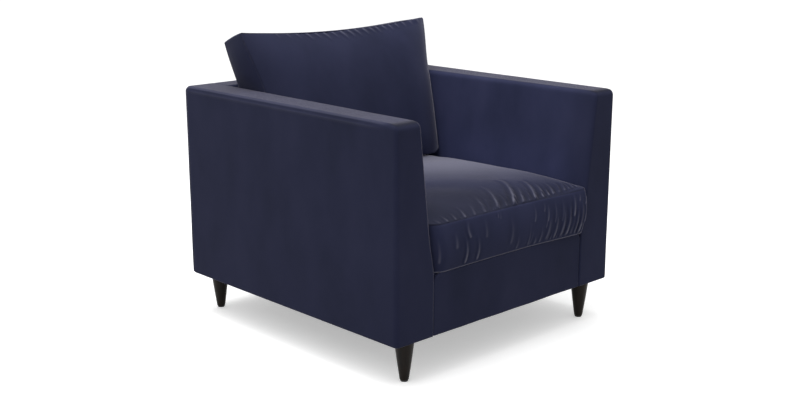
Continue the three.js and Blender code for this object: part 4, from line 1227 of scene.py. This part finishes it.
def make_back_cushion():
    obj, block, across, below, out = back_form("back_cushion", 0.0, True)
    front_row, rear_row = block.row == 0, block.row == block.rows - 1
    seam = (block.wall & (front_row | rear_row)).astype(float)
    corners = get_points(obj)
    corners[:, [0, 2]] -= out * (1.5 * MM * seam)[:, None]
    set_points(obj, corners)
    share = block.row / (block.rows - 1)
    lip = (share < 0.3) * block.wall * (0.02 < share) * smoothstep(out[:, 0], 0.3, 1.0)
    marks = {"seam": seam, "across": across, "below": below, "lip": lip}
    marks |= {"front_face": front_row, "rear_face": rear_row}
    seam, across, below, lip, front_face, rear_face = refine_with(obj, marks)
    points, normals = get_points(obj), get_normals(obj)
    mask, rear_mask = smoothstep(front_face, 0.3, 0.9), smoothstep(rear_face, 0.3, 0.9)
    from_left, from_right = across + BACK_HALF_BASE, BACK_HALF_BASE - across
    # painted sheen on the right side's lip and the front face's right margin, painted shade along the seams
    sheen_and_shade_paint = 0.22 * lip - 0.8 * seam
    sheen_and_shade_paint += mask * (0.3 * bell(from_right, 18 * MM) + 0.06 * bell(from_right, 60 * MM))
    # painted light: the front face is painted paler towards the right and darker at the left
    paler_right, darker_left = smoothstep(from_left, 0.35, 0.6), 1 - smoothstep(from_left, 0, 0.1)
    set_attribute(obj, "painted_light_level", mask * (0.02 + 0.16 * paler_right - 0.18 * darker_left))
    puckers = table_creases(crease_path, BACK_TOP_PUCKERS)
    below -= 1 * MM
    apply_creases(points, normals, sheen_and_shade_paint, across, below, mask, puckers)
    apply_creases(points, normals, sheen_and_shade_paint, across, below, rear_mask, fine_creases(73, -320, 320, 40), 0.1)
    points += normals * (waves(points, 0.2, 7, 61) * 0.9 * MM * mask)[:, None]
    channel = zip_channel(points, BACK_ZIP_Y, 1, ZIP_CHANNEL) * smoothstep(-normals[:, 2], 0.5, 0.9)
    points[:, 2] += ZIP_DEPTH * channel
    set_points(obj, points)
    # painted shade in the zip's channel
    set_attribute(obj, "painted_sheen_and_shade", sheen_and_shade_paint - 0.5 * channel)
    finish_piece(obj, "back_cushion", "velvet", VELVET, "back_cushion_cover")
    for name, row in (("front", 0), ("rear", block.rows - 1)):
        ring = corners[block.ring(row)]
        cord = seam_cord(f"back_cushion_{name}_seam", ring, 1.2 * MM, "back_cushion", VELVET)
        # the cords are painted: painted shade along most of them, a painted sheen highlight at the right edge
        at_right = smoothstep(get_points(cord)[:, 0], BACK_HALF_BASE - 8 * MM, BACK_HALF_BASE)
        set_attribute(cord, "painted_sheen_and_shade", at_right - 0.3)
    make_zip("back", back_zip_place, BACK_ZIP_LOW.x, BACK_ZIP_HIGH.x)
    core = back_form("back_foam_core", 8 * MM, False)[0]
    finish_pad(core, "back_cushion", "foam", FOAM, 0.9, "back_cushion_core")


# ---- Zips ----

ZIP_TOOTH_PITCH = 2.6 * MM
ZIP_TOOTH_RADIUS = 0.42 * MM


def plate_shape(size_x, size_y, thickness, radius, centre, edge=0.5 * MM):
    """A flat plate with rounded corners and edges: points (along, across, outward) and faces."""
    top = [(thickness - depth, inset) for depth, inset in arc_rows(edge, 2)]
    rows = arc_rows(edge, 2)[::-1] + top
    spacing = max(0.8 * MM, size_x / 60)
    block = Block(even_lines(size_x, spacing), even_lines(size_y, 0.8 * MM), len(rows))
    height, inset = row_values(block, rows)
    x, y = slab_plan(block, size_x, size_y, inset, [radius] * 4)
    return np.stack([x + centre[0], y + centre[1], height + centre[2]], 1), block.faces


def zip_tooth(along, shift):
    """One tooth, a short bar across the tape."""
    across = np.array([-1.5, -0.5, 0.5, 1.5]) * MM + shift
    line = np.stack([np.full(4, along), across, np.full(4, 0.35 * MM - ZIP_DEPTH)], 1)
    return tube_shape(line, ZIP_TOOTH_RADIUS, 6, False)


def squared(wave):
    """Fills a wave out, so that a circle drawn with two of them becomes a rounded rectangle."""
    return np.sign(wave) * np.abs(wave) ** 0.6


def slider_shapes(low, high):
    """A slider's body and bridge, and the ring and grip of its pull."""
    shell = 12 * MM
    base = -2.7 * MM
    start = low + shell / 2
    length = high - low - shell + 5 * MM
    arch = np.linspace(0, math.pi, 9)
    turn = np.linspace(0, 2 * math.pi, 28, endpoint=False)
    bridge = np.stack([start - 3.6 * MM * np.cos(arch), 0 * arch, base + (1.2 + 1.0 * np.sin(arch)) * MM], 1)
    along = high - length / 2 + (length / 2 - 1.2 * MM) * squared(np.cos(turn))
    ring = np.stack([along, 2.1 * MM * squared(np.sin(turn)), np.full(len(turn), base + 1.75 * MM)], 1)
    grip_place = (high - length * 0.3, 0, base + 1.35 * MM)
    return [
        plate_shape(shell, 7.4 * MM, 1.5 * MM, 3.0 * MM, (start, 0, base)),
        tube_shape(bridge, 0.55 * MM, 8, False),
        tube_shape(ring, 0.6 * MM),
        plate_shape(length * 0.45, 3.6 * MM, 0.8 * MM, 1.2 * MM, grip_place, 0.3 * MM),
    ]


def make_zip(cushion, place, slider_low, slider_high):
    """A cushion's zip: cloth tape, two rows of teeth, and a slider with its pull. place maps a point on the
    zip, given as its distance along, across and outward from the cushion's wall, into the chair."""

    def add(name, shapes, body, slot, material, *stands_for):
        moved = [(np.stack(np.broadcast_arrays(*place(*points.T)), 1), faces) for points, faces in shapes]
        finish_piece(merged_mesh(f"{cushion}_zip_{name}", moved), body, slot, material, *stands_for)

    end = slider_high - 16 * MM
    centres = [(0, side * 2.3 * MM, -ZIP_DEPTH - 0.1 * MM) for side in (-1, 1)]
    strips = [plate_shape(2 * end, 2.6 * MM, 0.5 * MM, 0.6 * MM, centre, 0.15 * MM) for centre in centres]
    add("tape", strips, f"{cushion}_cushion", "webbing", WEBBING)
    teeth = []
    for i in range(int(2 * end / ZIP_TOOTH_PITCH)):
        shift = 0.45 * MM if i % 2 else -0.45 * MM
        teeth.append(zip_tooth(-end + (i + 0.5) * ZIP_TOOTH_PITCH, shift))
    add("teeth", teeth, f"{cushion}_cushion", "zip_metal", ZIP_METAL)
    slider = slider_shapes(slider_low, slider_high)
    add("slider_and_pull", slider, f"{cushion}_zip", "zip_metal", ZIP_METAL, f"{cushion}_zip_slider")


# ---- Deck and dust cover ----

DECK_SPRING_PITCH = 104 * MM
LEG_HOLE = 29.5 * MM
STAPLE_PITCH = 42 * MM
STAPLE_INSET = 9 * MM


def make_deck():
    """The padded deck under the seat cushion, with the springs showing faintly and two rows of stitching."""
    rows = upright_rows(DECK_LOW.z + 0.4 * MM, DECK_HIGH.z - 0.6 * MM, 5 * MM, 4 * MM, 3 * MM, 3)
    size_x, size_y = DECK_HIGH.x - DECK_LOW.x - 1 * MM, DECK_HIGH.y - DECK_LOW.y - 1 * MM
    block = Block(even_lines(size_x, 10 * MM), even_lines(size_y, 10 * MM), len(rows))
    z, inset = row_values(block, rows)
    x, y = slab_plan(block, size_x, size_y, inset, [5 * MM] * 4)
    y += (DECK_LOW.y + DECK_HIGH.y) / 2
    obj = make_mesh("seat_deck_pad", np.stack([x, y, z], 1), block.faces)
    face_outwards(obj)
    refine(obj)
    points, normals = get_points(obj), get_normals(obj)
    top = smoothstep(normals[:, 2], 0.4, 0.9)
    within = smoothstep(points[:, 1] - DECK_LOW.y, 60 * MM, 100 * MM)
    within *= smoothstep(DECK_HIGH.y - points[:, 1], 20 * MM, 60 * MM)
    dips = 1.1 * (0.5 - 0.5 * np.cos(2 * math.pi * points[:, 0] / DECK_SPRING_PITCH)) * within
    dips += 0.8 * np.clip(waves(points, 0.11, 7, 81), -1, 1) ** 2
    stitch = 0.75 + 0.25 * np.cos(2 * math.pi * points[:, 0] / (9 * MM))
    for line in (DECK_LOW.y + 46 * MM, DECK_LOW.y + 53 * MM):
        dips += 1.7 * bell(points[:, 1] - line, 1.9 * MM) * stitch
    points[:, 2] -= dips * top * MM
    set_points(obj, points)
    finish_piece(obj, "chair_body", "deck_cloth", DECK_CLOTH, "seat_deck")


def make_dust_cover():
    """The thin cloth stapled under the frame, cut round the legs. It sags a little between the rails."""
    width, length = DUST_HIGH.x - DUST_LOW.x, DUST_HIGH.y - DUST_LOW.y
    legs = [(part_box(f"leg_{place}")[0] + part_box(f"leg_{place}")[1]) / 2 for place in LEG_PLACES]
    columns, lines = int(width / (8 * MM)), int(length / (8 * MM))
    x_lines = np.linspace(-width / 2, width / 2, columns + 1)
    y_lines = np.linspace(DUST_LOW.y, DUST_HIGH.y, lines + 1)
    x, y = (grid.ravel() for grid in np.meshgrid(x_lines, y_lines))
    faces = []
    for j in range(lines):
        for i in range(columns):
            first = j * (columns + 1) + i
            corners = (first, first + 1, first + columns + 2, first + columns + 1)
            middle_x, middle_y = x[list(corners)].mean(), y[list(corners)].mean()
            if all(math.hypot(middle_x - leg.x, middle_y - leg.y) > LEG_HOLE for leg in legs):
                faces.append(corners)
    for leg in legs:
        away = np.hypot(x - leg.x, y - leg.y)
        rim = away < LEG_HOLE + 5 * MM
        moved = LEG_HOLE / np.maximum(away[rim], 1e-6)
        x[rim] = leg.x + (x[rim] - leg.x) * moved
        y[rim] = leg.y + (y[rim] - leg.y) * moved
    inward = np.minimum(width / 2 - np.abs(x), np.minimum(y - DUST_LOW.y, DUST_HIGH.y - y))
    sag = smoothstep(inward, 45 * MM, 0.3) * 1.9
    run = np.where(width / 2 - np.abs(x) < inward + 1e-6, y, x)
    tension = (0.5 + 0.5 * np.cos(2 * math.pi * run / STAPLE_PITCH)) * bell(inward - 22 * MM, 14 * MM)
    z = DUST_HIGH.z - (0.25 + sag + 0.45 * tension) * MM
    used = sorted({k for face in faces for k in face})
    index = {old: new for new, old in enumerate(used)}
    faces = [tuple(index[k] for k in face) for face in faces]
    obj = make_mesh("dust_cover_cloth", np.stack([x, y, z], 1)[used], faces)
    solid = obj.modifiers.new("thickness", "SOLIDIFY")
    solid.thickness = 0.4 * MM
    solid.offset = -1.0
    finish_piece(obj, "chair_body", "dust_cloth", DUST_CLOTH, "dust_cover")
    make_staples(width, length, legs)


def make_staples(width, length, legs):
    source = np.random.default_rng(91)
    staples = []
    for axis, reach, other in ((0, width / 2, length / 2), (1, length / 2, width / 2)):
        count = int(2 * (reach - 30 * MM) / STAPLE_PITCH)
        for side in (-1, 1):
            for i in range(count + 1):
                along = (i - count / 2) * STAPLE_PITCH
                across = side * (other - STAPLE_INSET)
                centre = np.array((along, across) if axis == 0 else (across, along))
                centre[1] += (DUST_LOW.y + DUST_HIGH.y) / 2
                if min(math.hypot(centre[0] - leg.x, centre[1] - leg.y) for leg in legs) < LEG_HOLE + 8 * MM:
                    continue
                angle = source.uniform(-0.35, 0.35) + (0 if axis == 0 else math.pi / 2)
                way = np.array((math.cos(angle), math.sin(angle))) * 5 * MM
                low, high = DUST_LOW.z - 0.3 * MM, DUST_HIGH.z + 0.2 * MM
                line = [(*(centre - way), high), (*(centre - way * 0.98), low), (*(centre + way * 0.98), low)]
                line.append((*(centre + way), high))
                staples.append(tube_shape(line, 0.35 * MM, 6, False))
    obj = merged_mesh("dust_cover_staples", staples)
    finish_piece(obj, "chair_body", "clip_steel", CLIP_STEEL)


# ---- Legs ----

LEG_PLACES = [f"{end}_{side}" for side in ("left", "right") for end in ("front", "rear")]


def make_leg(place):
    low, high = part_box(f"leg_{place}")
    centre = (low + high) / 2
    top = high.x - centre.x
    foot, edge = 13 * MM, 2.5 * MM
    profile = [(0.0, low.z), (foot - edge, low.z)]
    for step in range(1, 7):
        angle = step / 6 * math.pi / 2
        profile.append((foot - edge + edge * math.sin(angle), low.z + edge * (1 - math.cos(angle))))
    for step in range(1, 17):
        share = step / 16
        z = low.z + edge + share * (BODY_BASE - low.z - edge)
        profile.append((foot + (top - foot) * share + 0.5 * MM * math.sin(math.pi * share), z))
    profile += [(top - 0.4 * MM, high.z - 0.5 * MM), (top - 1.5 * MM, high.z), (0.0, high.z)]
    obj = turned(f"turned_leg_{place}", profile, centre)
    finish_piece(obj, "chair_body", "leg_wood", LEG_WOOD, f"leg_{place}")


def turned(name, profile, centre, steps=64):
    """A solid of revolution about an upright axis, from (radius, z) pairs that start and end on the axis."""
    inner = profile[1:-1]
    angles = np.linspace(0, 2 * math.pi, steps, endpoint=False)
    points = [(r * math.cos(a) + centre.x, r * math.sin(a) + centre.y, z) for r, z in inner for a in angles]
    points += [(centre.x, centre.y, profile[0][1]), (centre.x, centre.y, profile[-1][1])]
    faces = []
    for row in range(len(inner) - 1):
        for k in range(steps):
            m = (k + 1) % steps
            base = row * steps
            faces.append((base + k, base + m, base + steps + m, base + steps + k))
    last = (len(inner) - 1) * steps
    for k in range(steps):
        m = (k + 1) % steps
        faces.append((m, k, len(points) - 2))
        faces.append((last + k, last + m, len(points) - 1))
    return make_mesh(name, points, faces)


# ---- Pieces that stay as the CAD made them ----


def dress_cad_nodes():
    looks = {
        "frame_timber": FRAME_TIMBER,
        "spring_steel": SPRING_STEEL,
        "clip_steel": CLIP_STEEL,
        "bolt_steel": CLIP_STEEL,
        "webbing": WEBBING,
        "foam": FOAM,
        "velvet": VELVET,
        "deck_cloth": DECK_CLOTH,
        "dust_cloth": DUST_CLOTH,
        "leg_wood": LEG_WOOD,
        "zip_metal": ZIP_METAL,
        "glide_plastic": GLIDE,
    }
    slots = {part["node"]: part["material_slot"] for part in frame["record"]["subparts"]}
    for node, obj in frame["nodes"].items():
        if not obj.hide_render:
            paint(obj, looks[slots[node]])


# ---- Stage: floor, lights and camera ----

SKY_LIGHT = 0.76
GROUND_LIGHT = 0.12
FLOOR_GLOW = 0.38
OVERHEAD_WATTS = 92
LEFT_WATTS = 26


def make_stage():
    size = 45.0
    corners = [(-size, -size, 0), (size, -size, 0), (size, size, 0), (-size, size, 0)]
    floor = make_mesh("floor", corners, [(0, 1, 2, 3)])
    n = Nodes("floor_paint")
    n.colour(n.ramp(n.noise(3.0, 2.0, 0.5), [(0.3, (0.89, 0.89, 0.89)), (0.7, (0.91, 0.91, 0.91))]))
    n.set(Roughness=1.0, Emission_Color=(1, 1, 1, 1), Emission_Strength=FLOOR_GLOW)
    paint(floor, n.material)
    # the floor takes the shadow but throws no light back up, as a small sweep under the chair would
    floor.visible_diffuse = False
    world = bpy.data.worlds.new("studio")
    bpy.context.scene.world = world
    world.use_nodes = True
    tree = world.node_tree
    background = tree.nodes["Background"]
    place = tree.nodes.new("ShaderNodeTexCoord")
    split = tree.nodes.new("ShaderNodeSeparateXYZ")
    ramp = tree.nodes.new("ShaderNodeMapRange")
    ramp.inputs["From Min"].default_value = -0.12
    ramp.inputs["From Max"].default_value = 0.12
    ramp.inputs["To Min"].default_value = GROUND_LIGHT
    ramp.inputs["To Max"].default_value = SKY_LIGHT
    tree.links.new(place.outputs["Generated"], split.inputs[0])
    tree.links.new(split.outputs["Z"], ramp.inputs["Value"])
    tree.links.new(ramp.outputs[0], background.inputs["Strength"])
    background.inputs["Color"].default_value = (1, 1, 1, 1)
    add_light("overhead", (-0.3, 0.5, 3.4), (0, 0, 0.3), 3.0, OVERHEAD_WATTS)
    add_light("left", (-2.6, -1.0, 3.0), (0, 0, 0.4), 2.2, LEFT_WATTS)
    bpy.context.scene.view_settings.view_transform = "Standard"


def add_light(name, place, target, size, watts):
    data = bpy.data.lights.new(name, "AREA")
    data.shape = "SQUARE"
    data.size = size
    data.energy = watts
    obj = bpy.data.objects.new(name, data)
    bpy.context.scene.collection.objects.link(obj)
    obj.location = place
    obj.rotation_euler = (Vector(target) - Vector(place)).to_track_quat("-Z", "Y").to_euler()


def make_camera():
    """The view: from the front left and a little above."""
    azimuth, elevation, distance = math.radians(-43.6), math.radians(13.87), 3.655
    target = Vector((0.010, 0.0, 0.362))
    back = Vector((
        math.sin(azimuth) * math.cos(elevation),
        -math.cos(azimuth) * math.cos(elevation),
        math.sin(elevation),
    ))
    data = bpy.data.cameras.new("camera")
    data.lens = 52.9
    data.sensor_width = 36.0
    camera = bpy.data.objects.new("camera", data)
    bpy.context.scene.collection.objects.link(camera)
    camera.location = target + back * distance
    camera.rotation_euler = (-back).to_track_quat("-Z", "Y").to_euler()
    bpy.context.scene.camera = camera


# ---- The chair ----

make_camera()
make_stage()
for side_name, side_sign in (("left", -1), ("right", 1)):
    make_arm(side_name, side_sign)
for leg_place in LEG_PLACES:
    make_leg(leg_place)
make_back()
make_outside_back()
make_border()
make_deck()
make_dust_cover()
make_seat_cushion()
make_back_cushion()
dress_cad_nodes()
